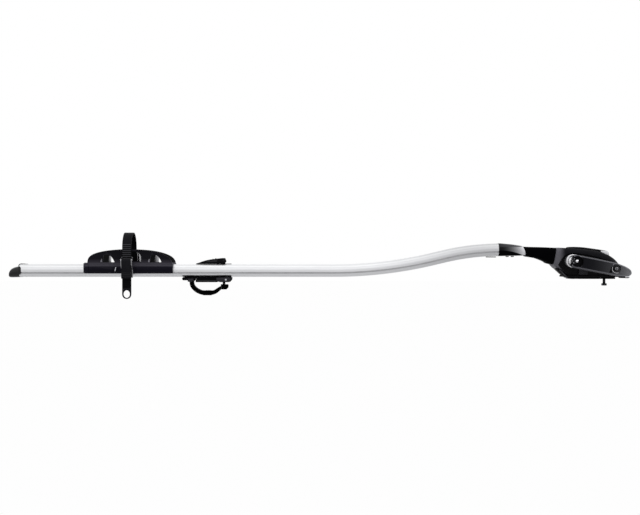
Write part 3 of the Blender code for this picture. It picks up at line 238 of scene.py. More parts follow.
def rubber(name, base, rough=0.8, spec=0.08):
    g = Graph(name)
    fine = g.noise(700.0, detail=3.0, rough=0.7)
    drift = g.noise(45.0, detail=4.0)
    colour = g.mix(g.fit(drift, (0.35, 0.7)), base, shade(base, 1.7, lift=0.0004))
    colour = g.edge_wear_and_highlight(colour, 0.35, shade(base, 3, lift=0.004))
    g.set(base=colour, spec=spec, rough=g.fit(fine, MID, to=(rough - 0.08, rough + 0.08)))
    g.bump((fine, 0.5), (g.noise(160.0, detail=4.0), 0.2), height=0.00018)
    return g.material


def collar_gloss():
    """Glossy collar: a two-tone silver sweep widening toward the front over a black lower part; the
    sweep runs from near black at the rear to pale at the front, a painted highlight.
    """
    g = Graph("collar_gloss")
    x, z = g.axis("X"), g.axis("Z")
    forward = g.fit(x, (-0.2088, -0.1550))
    # the division falls away toward the front
    division = g.math("SUBTRACT", 0.0635, g.mul(g.power(forward, 2.2), 0.0107))
    silver = g.ease(g.math("SUBTRACT", z, division), (-0.0004, 0.0008))
    # painted highlight: the sweep's colour brightens toward the front
    grey = g.mix(g.power(forward, 3.0), (0.0060, 0.0060, 0.0072), (0.66, 0.66, 0.68))
    # a darker strip follows the top edge, holding back the painted highlight there
    strip = g.mul(g.ease(z, (0.0700, 0.0722)), g.fit(x, (-0.1610, -0.1530), to=(1.0, 0.0)))
    top_edge_tone = g.mix(forward, (0.026, 0.026, 0.029), (0.080, 0.080, 0.085))
    grey = g.mix(strip, grey, top_edge_tone)
    # pale flecks, stronger toward the front with the painted highlight
    fleck = g.fit(g.noise(1400.0, detail=2.0), (0.45, 0.75), to=(0.0, 0.25))
    grey = g.mix(g.mul(fleck, g.power(forward, 3.0)), grey, (0.62, 0.62, 0.64))
    drift = g.noise(40.0, detail=3.0)
    g.set(base=g.mix(silver, (0.0012, 0.0012, 0.0016), grey),
          rough=g.add(g.fit(drift, MID, to=(0.24, 0.32)), g.fit(silver, (0.0, 1.0), to=(0.25, 0.0))),
          metal=g.mul(silver, g.mul(forward, 0.5)),
          spec=g.fit(silver, (0.0, 1.0), to=(0.01, 0.05)))
    g.bump((drift, 0.03), height=0.0001)
    return g.material


# painted light and shade by height: height where a tint starts, height where it is full, tint
CRADLE_PAINTED_SHADING = ((0.0150, 0.0270, (0.0085, 0.0076, 0.0135)),
                (0.0265, 0.0292, (0.0560, 0.0530, 0.0660)),
                (0.0352, 0.0372, (0.0270, 0.0245, 0.0320)),
                (0.0390, 0.0450, (0.0070, 0.0064, 0.0092)),
                (0.0520, 0.0640, (0.0036, 0.0033, 0.0052)))


def cradle_plastic():
    """Slate-tinted plastic with painted shading by height: a painted highlight along the ledge
    between wing and skirt, painted shade darkening the skirt toward its bottom and the wing toward
    its top.
    """
    g = Graph("cradle_slate")
    z = g.axis("Z")
    drift, fine = g.grain(800.0)
    colour = (0.0030, 0.0027, 0.0060)
    # painted highlight and shade, stacked by height
    for start, full, tint in CRADLE_PAINTED_SHADING:
        colour = g.mix(g.fit(z, (start, full)), colour, tint)
    colour = g.clouded(colour, drift, (0.012, 0.011, 0.016), span=(0.40, 0.65))
    colour = g.edge_wear_and_highlight(colour, 0.12, (0.060, 0.058, 0.070))
    g.set(base=colour, spec=0.045, rough=g.grain_rough(drift, fine, 0.49))
    g.bump((fine, 0.3), (g.cells(440.0), 0.15))
    return g.material


def matt_pale(g, fine, amount, dark, pale):
    """Matt plastic that is pale where amount is high."""
    g.set(base=g.mix(amount, dark, pale), spec=0.1, rough=g.fit(fine, MID, to=(0.5, 0.6)))
    g.bump((fine, 0.2), height=0.0001)
    return g.material


def jamb_plastic(name, rear, front):
    """Rounded window jamb that turns from shadow at the rear to light at the front."""
    g = Graph(name)
    x = g.axis("X")
    fine = g.noise(800.0, detail=2.0, rough=0.6)
    amount = g.power(g.fit(x, (rear, front)), 1.5)
    return matt_pale(g, fine, amount, dark=(0.004, 0.004, 0.006), pale=(0.80, 0.80, 0.82))


def liner_with_painted_light():
    """Dark liner with two upright bands and a top band painted pale: the dark is painted shade and
    the pale bands are painted highlights.
    """
    g = Graph("liner")
    x, z = g.axis("X"), g.axis("Z")
    fine = g.noise(800.0, detail=2.0, rough=0.6)
    down = (1.0, 0.0)
    # painted highlights: two upright pale bands
    pale_bands = [g.mul(g.ease(x, rise), g.ease(x, fall, to=down))
            for rise, fall in (((-1.0272, -1.0262), (-1.0232, -1.0222)),
                               ((-1.0208, -1.0198), (-1.0166, -1.0146)))]
    header = g.mul(g.ease(z, (0.0490, 0.0520), to=(0.0, 0.7)),
                   g.ease(x, (-1.0190, -1.0150), to=down))
    amount = g.math("MAXIMUM", g.math("MAXIMUM", *pale_bands), header)
    amount = g.mul(amount, g.ease(z, (0.0540, 0.0600), to=down))
    return matt_pale(g, fine, amount, dark=(0.008, 0.008, 0.012), pale=(0.90, 0.90, 0.92))


def shell_plastic():
    """Black housing plastic over the back and sides; the flared rear rim is painted paler charcoal
    as a painted reflection, with a satin sheen.
    """
    g = Graph("shell_painted_rim_light")
    x = g.axis("X")
    drift, fine = g.grain(1100.0)
    # painted reflection: the flared rear rim paler
    rim = g.ease(x, (-0.0785, -0.0630), to=(1.0, 0.0))
    colour = g.mix(rim, (0.0040, 0.0040, 0.0052), (0.096, 0.094, 0.108))
    # painted highlight: slightly paler toward the nose
    nose = g.ease(x, (0.030, 0.060))
    colour = g.mix(g.mul(nose, 0.3), colour, (0.050, 0.050, 0.056))
    colour = g.clouded(colour, drift, (0.020, 0.020, 0.024))
    colour = g.edge_wear_and_highlight(colour, 0.08, (0.09, 0.09, 0.10))
    g.set(base=colour, spec=g.fit(rim, (0.0, 1.0), to=(0.06, 0.22)),
          rough=g.add(g.fit(rim, (0.0, 1.0), to=(0.24, 0.0)), g.grain_rough(drift, fine, 0.43)))
    g.bump((fine, 0.18), (g.cells(600.0), 0.1))
    return g.material


def lever_plastic():
    """Satin black lever plastic, painted paler toward the grip end as a painted highlight, with
    painted highlight lines along its rims.
    """
    g = Graph("lever_painted_highlight")
    x = g.axis("X")
    drift, fine = g.grain(1200.0)
    # painted highlight: the colour rises from black to pale grey toward the grip end
    grip = g.power(g.fit(x, (-0.045, 0.068)), 3.0)
    colour = g.mix(grip, (0.0012, 0.0013, 0.0030), (0.135, 0.135, 0.142))
    colour = g.clouded(colour, drift, (0.020, 0.020, 0.024))
    # painted highlight lines along the rims, with a little edge wear
    colour = g.edge_wear_and_highlight(colour, 0.75, (0.20, 0.20, 0.22), span=(0.51, 0.57))
    g.set(base=colour, spec=0.09, rough=g.grain_rough(drift, fine, 0.43))
    g.bump((fine, 0.12), (g.cells(660.0), 0.06))
    return g.material


def beam_metal():
    """Clear-anodised extrusion: long die lines, faint cross scuffs where the clamp slides."""
    g = Graph("beam_anodised")
    die = g.noise((1.2, 700.0, 700.0), detail=3.0, rough=0.6)
    cloud = g.noise((5.0, 30.0, 30.0), detail=4.0, rough=0.6)
    scratch = g.noise((260.0, 40.0, 40.0), detail=5.0, rough=0.75)
    x, z = g.axis("X"), g.axis("Z")
    zone = g.mul(g.ease(x, (-0.92, -0.88)), g.ease(x, (-0.64, -0.58), to=(1.0, 0.0)))
    top = g.ease(z, (0.0300, 0.0322))
    scuff = g.mul(g.mul(g.fit(scratch, (0.55, 0.72)), zone), top)
    colour = g.mix(g.fit(cloud, (0.35, 0.7)), (0.83, 0.835, 0.845), (0.77, 0.775, 0.785))
    colour = g.mix(g.mul(scuff, 0.5), colour, (0.60, 0.60, 0.61))
    roughness = g.add(g.fit(die, MID, to=(0.30, 0.42)), g.mul(scuff, 0.12))
    # darker toward the head
    colour = g.mix(g.ease(x, (-0.52, -0.24), to=(0.0, 0.30)), colour, (0.20, 0.20, 0.21))
    g.set(base=colour, metal=1.0, rough=roughness, aniso=0.35)
    g.bump((die, 0.10), (scuff, 0.05), height=0.00008)
    return g.material


def even(level, blue=None):
    """A grey, with its own blue where given."""
    return (level, level, level if blue is None else blue)


MATS = {
    "beam": beam_metal(),
    # darker metal for the side grooves: painted shade in the crease
    "groove": metal("beam_groove_painted_shade", even(0.50, 0.51), rough=0.5, lines=(1.2, 700.0, 700.0)),
    "steel": metal("zinc_steel", (0.50, 0.51, 0.53), rough=0.30),
    "steel_dark": metal("steel_black_oxide", even(0.022, 0.024), rough=0.42),
    "steel_mid": metal("lock_face_steel", even(0.22, 0.23), rough=0.34),
    "buckle": metal("buckle_steel", even(0.34, 0.35), rough=0.30),
    "bezel": metal("lock_bezel_steel", even(0.045, 0.048), rough=0.22),
    "plug": plastic("lock_plug_black", even(0.003, 0.0035), rough=0.4, spec=0.12),
    "chrome": metal("bright_steel", even(0.80, 0.82), rough=0.16, depth=0.04),
    "cast": metal("cast_aluminium", (0.20, 0.205, 0.21), rough=0.48, lines=(220.0, 220.0, 220.0),
                  depth=0.25),
    "bracket": metal("plated_bracket", (0.032, 0.031, 0.036), rough=0.42,
                     lines=(90.0, 300.0, 300.0), depth=0.1),
    "black": plastic("black_nylon", even(0.0034, 0.0040), rough=0.68, spec=0.07, wear=0.02),
    "foot": plastic("foot_nylon", even(0.0022, 0.0030), rough=0.74, spec=0.04, wear=0.02),
    "black_lite": plastic("charcoal_nylon", even(0.013, 0.015), rough=0.48, spec=0.14),
    "neck": plastic("neck_black", even(0.0006, 0.0010), rough=0.66, spec=0.012, depth=0.35),
    "shell": shell_plastic(),
    "lip": plastic("shell_lips", even(0.030, 0.034), rough=0.40, spec=0.25, grain=1100.0,
                   depth=0.18),
    "cup": metal("cup_zinc", even(0.80, 0.81), rough=0.26, lines=(300.0, 300.0, 300.0), depth=0.1),
    "panel": plastic("panel_black", even(0.0022, 0.0026), rough=0.6, spec=0.09),
    "lever": lever_plastic(),
    "lever_dark": plastic("lever_recess", even(0.0015, 0.002), rough=0.60, spec=0.05, wear=0.0),
    "cradle": cradle_plastic(),
    # pale lip plastic: a painted highlight on the window jambs
    "cradle_lite": plastic("cradle_lip_painted_highlight", (0.19, 0.185, 0.21), rough=0.40, spec=0.3, grain=800.0),
    "strap": plastic("strap_polymer", even(0.0062, 0.0080), rough=0.64, spec=0.07, grain=600.0,
                     wear=0.4),
    # paler bar plastic: a painted highlight on the raised bars
    "strap_bar": plastic("strap_bars_painted_highlight", even(0.0240, 0.0280), rough=0.48, spec=0.16, grain=600.0,
                         wear=0.3),
    "gloss": plastic("gloss_cap", even(0.0020, 0.0024), rough=0.16, depth=0.05, coat=0.12),
    "rubber": rubber("rubber_black", even(0.0018, 0.0020)),
    "rubber_band": rubber("band_rubber", even(0.0004, 0.0005), rough=0.7, spec=0.012),
    "collar": collar_gloss(),
}


# ============================================================================
# outlines
# ============================================================================
def inset(outline, distance):
    """Outline moved inward by a distance."""
    n = len(outline)
    ring = [(outline[i], outline[(i + 1) % n]) for i in range(n)]
    turn = 1.0 if sum(a[0] * b[1] - b[0] * a[1] for a, b in ring) > 0 else -1.0

    def normal(a, b):
        length = hypot(b[0] - a[0], b[1] - a[1]) or 1
        return -(b[1] - a[1]) / length * turn, (b[0] - a[0]) / length * turn

    out = []
    for i, (point, after) in enumerate(ring):
        n1, n2 = normal(outline[i - 1], point), normal(point, after)
        spread = max(1 + n1[0] * n2[0] + n1[1] * n2[1], 0.5)
        out.append(tuple(point[j] + distance * (n1[j] + n2[j]) / spread for j in (0, 1)))
    return out


def catmull(points, t):
    """Catmull-Rom point between the middle two of four."""
    return tuple(0.5 * (2 * b + (c - a) * t + (2 * a - 5 * b + 4 * c - d) * t * t
                        + (3 * b - a - 3 * c + d) * t ** 3) for a, b, c, d in zip(*points))


def smooth_loop(points, steps=4):
    n = len(points)
    return [catmull([points[(i + j) % n] for j in (-1, 0, 1, 2)], step / steps)
            for i in range(n) for step in range(steps)]


def smooth_line(points, steps=4):
    last = len(points) - 1
    out = [catmull([points[min(max(i + j, 0), last)] for j in (-1, 0, 1, 2)], step / steps)
           for i in range(last) for step in range(steps)]
    return out + [tuple(points[-1])]


def dense(rows, steps):
    """Smooth stations added between the rows."""
    return list(zip(*(smooth_line(column, steps) for column in zip(*rows))))


def arc(cx, cy, radius, start, end, steps):
    angles = [radians(start + (end - start) * i / steps) for i in range(steps + 1)]
    return [(cx + radius * cos(a), cy + radius * sin(a)) for a in angles]


def ellipse(cx, cy, rx, ry, n):
    return [(cx + rx * cos(2 * pi * i / n), cy + ry * sin(2 * pi * i / n)) for i in range(n)]


def rounded(half_w, half_h, corner, steps):
    """Rounded rectangle about the origin."""
    out = []
    for sx, sy, start in ((1, 1, 0), (-1, 1, 90), (-1, -1, 180), (1, -1, 270)):
        out += arc(sx * (half_w - corner), sy * (half_h - corner), corner, start, start + 90, steps)
    return out


def cam_outline(seat, opening, stroke=3.0, gap=0.35, steps=16):
    """Cam flank about its pin: it eases off its seat as the lever opens (degrees)."""
    slope = -stroke / radians(opening)
    out = []
    for i in range(steps + 1):
        t = radians(opening) * i / steps
        reach = seat - gap + slope * t
        out.append((reach * sin(t) + slope * cos(t), -reach * cos(t) + slope * sin(t)))
    return out


# ============================================================================
# mesh builders
# ============================================================================
def shade_smooth(mesh, sharp):
    for face in mesh.polygons:
        face.use_smooth = True
    mesh.set_sharp_from_angle(angle=radians(sharp))


def link_object(name, mesh):
    obj = bpy.data.objects.new(name, mesh)
    bpy.context.scene.collection.objects.link(obj)
    return obj


def finish_mesh(name, bm, mats, sharp=35):
    """Object from a millimetre bmesh; mats is a key of MATS, a list of keys or None."""
    bmesh.ops.remove_doubles(bm, verts=bm.verts, dist=0.0005)
    bmesh.ops.recalc_face_normals(bm, faces=bm.faces)
    if bm.calc_volume(signed=True) < 0:
        bmesh.ops.reverse_faces(bm, faces=bm.faces)
    mesh = bpy.data.meshes.new(name)
    bm.to_mesh(mesh)
    bm.free()
    mesh.transform(Matrix.Scale(MM, 4))
    obj = link_object(name, mesh)
    for key in [mats] if isinstance(mats, str) else mats or ():
        mesh.materials.append(MATS[key])
    shade_smooth(mesh, sharp)
    return obj


def carve(obj, cutters, operation="DIFFERENCE", sharp=35):
    """Boolean with each cutter in turn; modifiers already on the object are baked in."""
    for cutter in cutters:
        mod = obj.modifiers.new("cut", "BOOLEAN")
        mod.solver = "EXACT"
        mod.operation = operation
        mod.object = cutter
        bpy.context.view_layer.update()
        graph = bpy.context.evaluated_depsgraph_get()
        mesh = bpy.data.meshes.new_from_object(obj.evaluated_get(graph), depsgraph=graph)
        obj.modifiers.clear()
        old = obj.data
        obj.data = mesh
        bpy.data.meshes.remove(old)
        bpy.data.objects.remove(cutter, do_unlink=True)
    bm = bmesh.new()
    bm.from_mesh(obj.data)
    bmesh.ops.remove_doubles(bm, verts=bm.verts, dist=1e-6)
    bmesh.ops.dissolve_degenerate(bm, edges=bm.edges, dist=1e-6)
    bm.to_mesh(obj.data)
    bm.free()
    shade_smooth(obj.data, sharp)


def bevel(obj, width, angle):
    mod = obj.modifiers.new("edges", "BEVEL")
    mod.width = width * MM
    mod.segments = 2
    mod.limit_method = "ANGLE"
    mod.angle_limit = radians(angle)
    mod.use_clamp_overlap = True
    mod.harden_normals = True


def stack(loops, closed=False):
    """Skin over a row of loops, capped unless it closes on itself."""
    bm = bmesh.new()
    rows = [[bm.verts.new(p) for p in loop] for loop in loops]
    n = len(rows[0])
    pairs = list(zip(rows, rows[1:]))
    if closed:
        pairs.append((rows[-1], rows[0]))
    for a, b in pairs:
        for i in range(n):
            j = (i + 1) % n
            bm.faces.new((a[i], a[j], b[j], b[i]))
    if not closed:
        bm.faces.new(list(reversed(rows[0])))
        bm.faces.new(rows[-1])
    return bm


def along_y(x, z, y):
    return (x, y, z)


def along_x(y, z, x):
    return (x, y, z)


def along_z(x, y, z):
    return (x, y, z)


def prism(name, outline, start, end, mats=None, place=along_y, soft=0.0):
    """Outline extruded from start to end with rounded rims of radius soft."""
    s = 1 if end > start else -1
    rows = [(outline, start), (outline, end)]
    if soft:
        rims = [(inset(outline, soft * (1 - sin(t))), s * soft * (1 - cos(t)))
                for t in (radians(90 * i / 3) for i in range(4))]
        rows = [(pts, start + d) for pts, d in rims] + [(pts, end - d) for pts, d in rims[::-1]]
    return finish_mesh(name, stack([[place(*p, depth) for p in pts] for pts, depth in rows]), mats)


def box(name, low, high, mats=None, soft=0.0):
    (x0, y0, z0), (x1, y1, z1) = low, high
    return prism(name, [(x0, y0), (x1, y0), (x1, y1), (x0, y1)], z0, z1, mats, along_z, soft)


def lathe(name, profile, centre, axis, mats, seg=48):
    """Profile of (radius, height) turned about an axis."""
    axis, centre = Vector(axis).normalized(), Vector(centre)
    helper = Vector((0, 0, 1)) if abs(axis.z) < 0.9 else Vector((1, 0, 0))
    across = helper.cross(axis).normalized()
    other = axis.cross(across)
    bm = bmesh.new()
    rings = []
    for radius, height in profile:
        middle = centre + axis * height
        if radius < 1e-6:
            rings.append([bm.verts.new(middle)])
            continue
        angles = [2 * pi * i / seg for i in range(seg)]
        rings.append([bm.verts.new(middle + (across * cos(t) + other * sin(t)) * radius)
                      for t in angles])
    pairs = list(zip(rings, rings[1:]))
    if not (len(rings[0]) == 1 and len(rings[-1]) == 1):
        pairs.append((rings[-1], rings[0]))
    for a, b in pairs:
        for i in range(seg):
            j = (i + 1) % seg
            if len(a) == 1:
                bm.faces.new((a[0], b[i], b[j]))
            elif len(b) == 1:
                bm.faces.new((a[i], b[0], a[j]))
            else:
                bm.faces.new((a[i], b[i], b[j], a[j]))
    return finish_mesh(name, bm, mats)


def rod(name, start, end, r, mats=None, seg=32, soft=0.0):
    axis = Vector(end) - Vector(start)
    h = axis.length
    if soft:
        rim = [(r - soft, 0), (r - soft * 0.3, soft * 0.3), (r, soft)]
        profile = [(0, 0)] + rim + [(radius, h - z) for radius, z in rim[::-1]] + [(0, h)]
    else:
        profile = [(0, 0), (r, 0), (r, h), (0, h)]
    return lathe(name, profile, start, axis, mats, seg)


def rod_y(name, x, z, y0, y1, r, mats=None, seg=32, soft=0.0):
    return rod(name, (x, y0, z), (x, y1, z), r, mats, seg, soft)


def put(obj, body, slot, *nodes):
    """Tell the frame which body a piece rides and which CAD nodes it replaces."""
    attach(obj, body)
    if nodes:
        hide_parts(*nodes)


def refine(node, mat, width):
    """A CAD node's own shape with rounded edges and a finished material."""
    mesh = NODES[node].data.copy()
    bm = bmesh.new()
    bm.from_mesh(mesh)
    bmesh.ops.remove_doubles(bm, verts=bm.verts, dist=2e-6)
    bmesh.ops.dissolve_limit(bm, angle_limit=radians(0.6), verts=bm.verts, edges=bm.edges,
                             delimit=set())
    bm.to_mesh(mesh)
    bm.free()
    mesh.materials.clear()
    mesh.materials.append(MATS[mat])
    obj = link_object(node + "_finished", mesh)
    shade_smooth(mesh, 38)
    if width:
        bevel(obj, width, angle=38)
    put(obj, BODY_OF[node], SLOT_OF[node], node)
    return obj


def refine_all(*rows):
    for node, mat, width in rows:
        refine(node, mat, width)


def centre_of(face):
    """Face centre in millimetres."""
    return face.center * 1000


# ============================================================================
# beam: a low rear run, two opposed bends and a high front run
# ============================================================================
TUBE_LO, TUBE_HI = cad_box("tube")
HALF_W = (TUBE_HI[1] - TUBE_LO[1]) / 2
HALF_H, CORNER = 14.0, 12.0
AXIS_Z = TUBE_LO[2] + HALF_H
HIGH_Z = TUBE_HI[2] - HALF_H
TUBE_TOP = AXIS_Z + HALF_H
BEND_ANGLE, BEND_START, BEND_STRAIGHT = radians(13.3), -576.0, 28.2
LOW_R, HIGH_R = 960.0, 540.0
LOW_LEN, HIGH_LEN = LOW_R * BEND_ANGLE, HIGH_R * BEND_ANGLE
RAMP_END = LOW_LEN + BEND_STRAIGHT
PATH_LEN = RAMP_END + HIGH_LEN
# side groove: height from the tube axis, half height, depth
GROOVE_Z, GROOVE_HALF, GROOVE_DEPTH = -5.0, 1.5, 1.5


def path_point(s):
    """x, z and slope of the tube axis at a distance from the start of the bend."""
    if s <= 0:
        return BEND_START + s, AXIS_Z, 0.0
    turn = min(s / LOW_R, BEND_ANGLE)
    x = BEND_START + LOW_R * sin(turn)
    z = AXIS_Z + LOW_R * (1 - cos(turn))
    if s <= LOW_LEN:
        return x, z, turn
    run = min(s - LOW_LEN, BEND_STRAIGHT)
    x += run * cos(BEND_ANGLE)
    z += run * sin(BEND_ANGLE)
    if s <= RAMP_END:
        return x, z, BEND_ANGLE
    if s <= PATH_LEN:
        turn = BEND_ANGLE - (s - RAMP_END) / HIGH_R
        return (x + HIGH_R * (sin(BEND_ANGLE) - sin(turn)),
                z + HIGH_R * (cos(turn) - cos(BEND_ANGLE)), turn)
    return x + HIGH_R * sin(BEND_ANGLE) + s - PATH_LEN, HIGH_Z, 0.0


def grooved(points):
    """The tube outline with a groove let into each side."""
    out = []
    for i, (y, z) in enumerate(points):
        y2, z2 = points[(i + 1) % len(points)]
        if abs(z - GROOVE_Z) >= GROOVE_HALF:
            out.append((y, z))
        crossings = []
        for lip in (GROOVE_Z - GROOVE_HALF, GROOVE_Z + GROOVE_HALF):
            if (z - lip) * (z2 - lip) < 0 and abs(y) > HALF_W * 0.7:
                t = (lip - z) / (z2 - z)
                crossings.append((t, y + t * (y2 - y), lip))
        for _, edge, lip in sorted(crossings):
            below = lip < GROOVE_Z
            side = 1 if edge > 0 else -1
            floor_point = (side * (HALF_W - GROOVE_DEPTH - 0.6), lip + (0.4 if below else -0.4))
            pair = [(edge, lip), floor_point]
            out += pair if below == (z < z2) else pair[::-1]
    return out


def sweep_rows(outline, distances):
    rows = []
    for s in distances:
        x, z, slope = path_point(s)
        rows.append([(x - up * sin(slope), y, z + up * cos(slope)) for y, up in outline])
    rows[-1] = [(TUBE_HI[0], y, z) for _, y, z in rows[-1]]
    return rows


def hollow(name, outer, inner, mats, dark=()):
    """Tube wall between two skins; outer strips listed in dark take the second material."""
    bm = bmesh.new()
    skins = [[[bm.verts.new(p) for p in row] for row in rows] for rows in (outer, inner)]
    for rows, flip in zip(skins, (False, True)):
        for a, b in zip(rows, rows[1:]):
            for i in range(len(a)):
                j = (i + 1) % len(a)
                quad = (a[i], a[j], b[j], b[i])
                face = bm.faces.new(quad[::-1] if flip else quad)
                if i in dark and not flip:
                    face.material_index = 1
    for end in (0, -1):
        edges = [bm.edges.get((rows[end][i], rows[end][(i + 1) % len(rows[end])]))
                 for rows in skins for i in range(len(rows[end]))]
        bmesh.ops.triangle_fill(bm, use_beauty=True, use_dissolve=False, edges=edges)
    return finish_mesh(name, bm, mats, sharp=32)


TUBE_OUTLINE = rounded(HALF_W, HALF_H, CORNER, 12)
distances = [TUBE_LO[0] - BEND_START, -300.0, 0.0] + [LOW_LEN * i / 28 for i in range(1, 29)]
distances += [RAMP_END] + [RAMP_END + HIGH_LEN * i / 20 for i in range(1, 21)]
groove_outline = grooved(TUBE_OUTLINE)
# faces in the side grooves take the darker metal: painted shade
groove_strips = set()
for i, (y, z) in enumerate(groove_outline):
    next_z = groove_outline[(i + 1) % len(groove_outline)][1]
    if abs((z + next_z) / 2 - GROOVE_Z) < 1.6 and abs(y) > 10:
        groove_strips.add(i)
beam = hollow("beam", sweep_rows(groove_outline, distances),
              sweep_rows(rounded(HALF_W - 3.2, HALF_H - 2.0, CORNER - 2.6, 12), distances),
              ["beam", "groove"], groove_strips)
slot_outline = arc(-618.0, 0, 4.2, -90, 90, 10) + arc(-838.0, 0, 4.2, 90, 270, 10)
carve(beam, [prism("slot", slot_outline, AXIS_Z - 30, AXIS_Z + 30, place=along_z)], sharp=32)
put(beam, "carrier", "alu", "tube")

# ============================================================================
# end cap
# ============================================================================
# x, top z, bottom z, half width
CAP_STATIONS = (
    (-1303.2, 11.5, 6.0, 13.0), (-1302.8, 15.2, 4.2, 16.6), (-1301.2, 18.8, 3.6, 18.8),
    (-1298.0, 22.2, 3.3, 20.6), (-1293.0, 25.0, 3.3, 21.9), (-1286.6, 27.0, 3.5, 22.6),
    (-1279.9, 28.1, 3.8, 22.9), (-1278.9, 27.9, 4.1, 22.6))
cap_outline = rounded(HALF_W, HALF_H, CORNER, 10)
rows = [[(x, y * half_w / HALF_W, (top + bottom) / 2 + up * (top - bottom) / 2 / HALF_H)
         for y, up in cap_outline] for x, top, bottom, half_w in CAP_STATIONS]
cap = finish_mesh("end_cap_shell", stack(dense(rows, 3)), "gloss", 50)
# tongue reaching forward over the top of the beam
lug = prism("lug", [
    (-1284.6, 24.0), (-1283.2, 31.0), (-1281.4, 33.2), (-1278.9, 34.1), (-1276.0, 34.3),
    (-1266.6, 33.5), (-1266.3, 33.1), (-1266.6, 32.8), (-1278.7, 32.8), (-1278.9, 24.0)],
    -8.6, 8.6)
carve(cap, [lug], "UNION", 40)
bevel(cap, 0.4, angle=45)
put(cap, "carrier", "gloss", "end_cap")
# side tongues clipped over the end of the beam
CAP_TONGUE = [(-1279.6, 9.0), (-1279.6, 26.6), (-1276.0, 28.4), (-1274.2, 24.6),
              (-1273.4, 13.0), (-1275.2, 9.6)]
for s, tag in SIDES:
    put(prism("cap_tongue_" + tag, CAP_TONGUE, s * 22.3, s * 23.6, "gloss", soft=0.4),
        "carrier", "gloss")

# ============================================================================
# collar and neck
# ============================================================================
# x at top, x at bottom, rise of the top, rise of the bottom, extra half width
COLLAR = (
    (-208.9, -208.9, 0.15, -0.15, 0.15), (-208.3, -208.3, 0.35, -0.35, 0.3),
    (-203.0, -203.0, 0.25, -0.3, 0.25), (-190.0, -190.0, -0.9, 0.0, 0.0),
    (-178.0, -178.0, -2.0, 0.1, -0.2), (-164.0, -162.0, -4.1, 0.6, -0.5),
    (-155.2, -148.6, -5.7, 1.2, -0.8), (-154.2, -147.6, -6.6, 2.0, -1.5))


def with_height(outline):
    """Outline points with their height as a fraction of the tube's."""
    return [(y, up, (up + HALF_H) / (2 * HALF_H)) for y, up in outline]


outer, inner = [], []
for x_top, x_bottom, top, bottom, widen in COLLAR:
    lean = x_top - x_bottom
    outer.append([(x_bottom + lean * t, y * (1 + widen / 23.0),
                   HIGH_Z + up + top * t + bottom * (1 - t))
                  for y, up, t in with_height(TUBE_OUTLINE)])
    inner.append([(x_bottom + lean * t, y,
                   HIGH_Z + up + (min(0.0, top + 1.6) * t if t > 0.5 else 0.0))
                  for y, up, t in with_height(rounded(HALF_W - 3.5, HALF_H - 2.6, 8.9, 12))])
put(hollow("collar_sleeve", outer, inner, "collar"), "carrier", "collar", "tube_collar")


def body_loop(x_top, x_bottom, z_low, z_high, half_w, corner):
    """Rounded rectangle leaning from x_bottom to x_top."""
    half_h, middle = (z_high - z_low) / 2, (z_low + z_high) / 2
    corner = min(corner, half_w * 0.95, (z_high - z_low) * 0.48)
    return [(x_bottom + (x_top - x_bottom) * (up + half_h) / (2 * half_h), y, middle + up)
            for y, up in rounded(half_w, half_h, corner, 9)]


# body_loop columns: x at top, x at bottom, low z, high z, half width, corner radius
NECK = (
    (-153.0, -146.2, 50.6, 71.4, 21.0, 9), (-152.2, -145.4, 50.0, 71.9, 21.8, 9.5),
    (-138.0, -134.0, 48.2, 71.4, 22.2, 9.5), (-123.7, -123.7, 46.4, 71.1, 23.0, 9.5),
    (-112.5, -112.5, 42.4, 70.8, 24.0, 10), (-102.0, -103.0, 38.2, 70.4, 25.0, 10.5),
    (-94.0, -99.0, 35.2, 70.0, 26.0, 11), (-81.6, -88.6, 32.4, 69.4, 27.4, 11))
neck = finish_mesh("neck", stack(dense([body_loop(*row) for row in NECK], 3)), "neck", 40)
put(neck, "carrier", "neck", "head_neck")

# ============================================================================
# housing shell, its flared rear rim slanted over the neck
# ============================================================================
SKEWER_X, SKEWER_Z = -53.0, 40.0
CLAMP_X, CLAMP_Z = 31.5, 52.0
# body_loop columns
HOUSING = (
    (-80.9, -87.6, 31.8, 68.9, 27.9, 11), (-80.1, -86.4, 30.2, 69.6, 29.2, 11),
    (-77.0, -80.6, 24.6, 69.8, 31.4, 11), (-73.5, -74.6, 21.0, 69.6, 33.8, 11),
    (-67.0, -67.6, 16.4, 69.2, 36.6, 11), (-61.0, -61.0, 10.2, 68.8, 38.2, 11),
    (-50.0, -52.0, 8.4, 68.2, 39.0, 11), (-35.0, -35.0, 8.4, 67.2, 39.0, 11),
    (-20.0, -20.0, 8.4, 65.8, 39.0, 11), (5.0, 5.0, 8.4, 62.3, 38.5, 11),
    (22.0, 24.0, 8.4, 57.8, 37.5, 11), (36.0, 40.0, 8.4, 52.0, 35.5, 11),
    (47.0, 54.0, 8.4, 45.0, 32.5, 11), (56.5, 65.0, 8.4, 35.5, 28.5, 10),
    (63.5, 71.0, 8.6, 25.0, 24.0, 8), (67.0, 73.2, 9.6, 17.5, 19.0, 4))
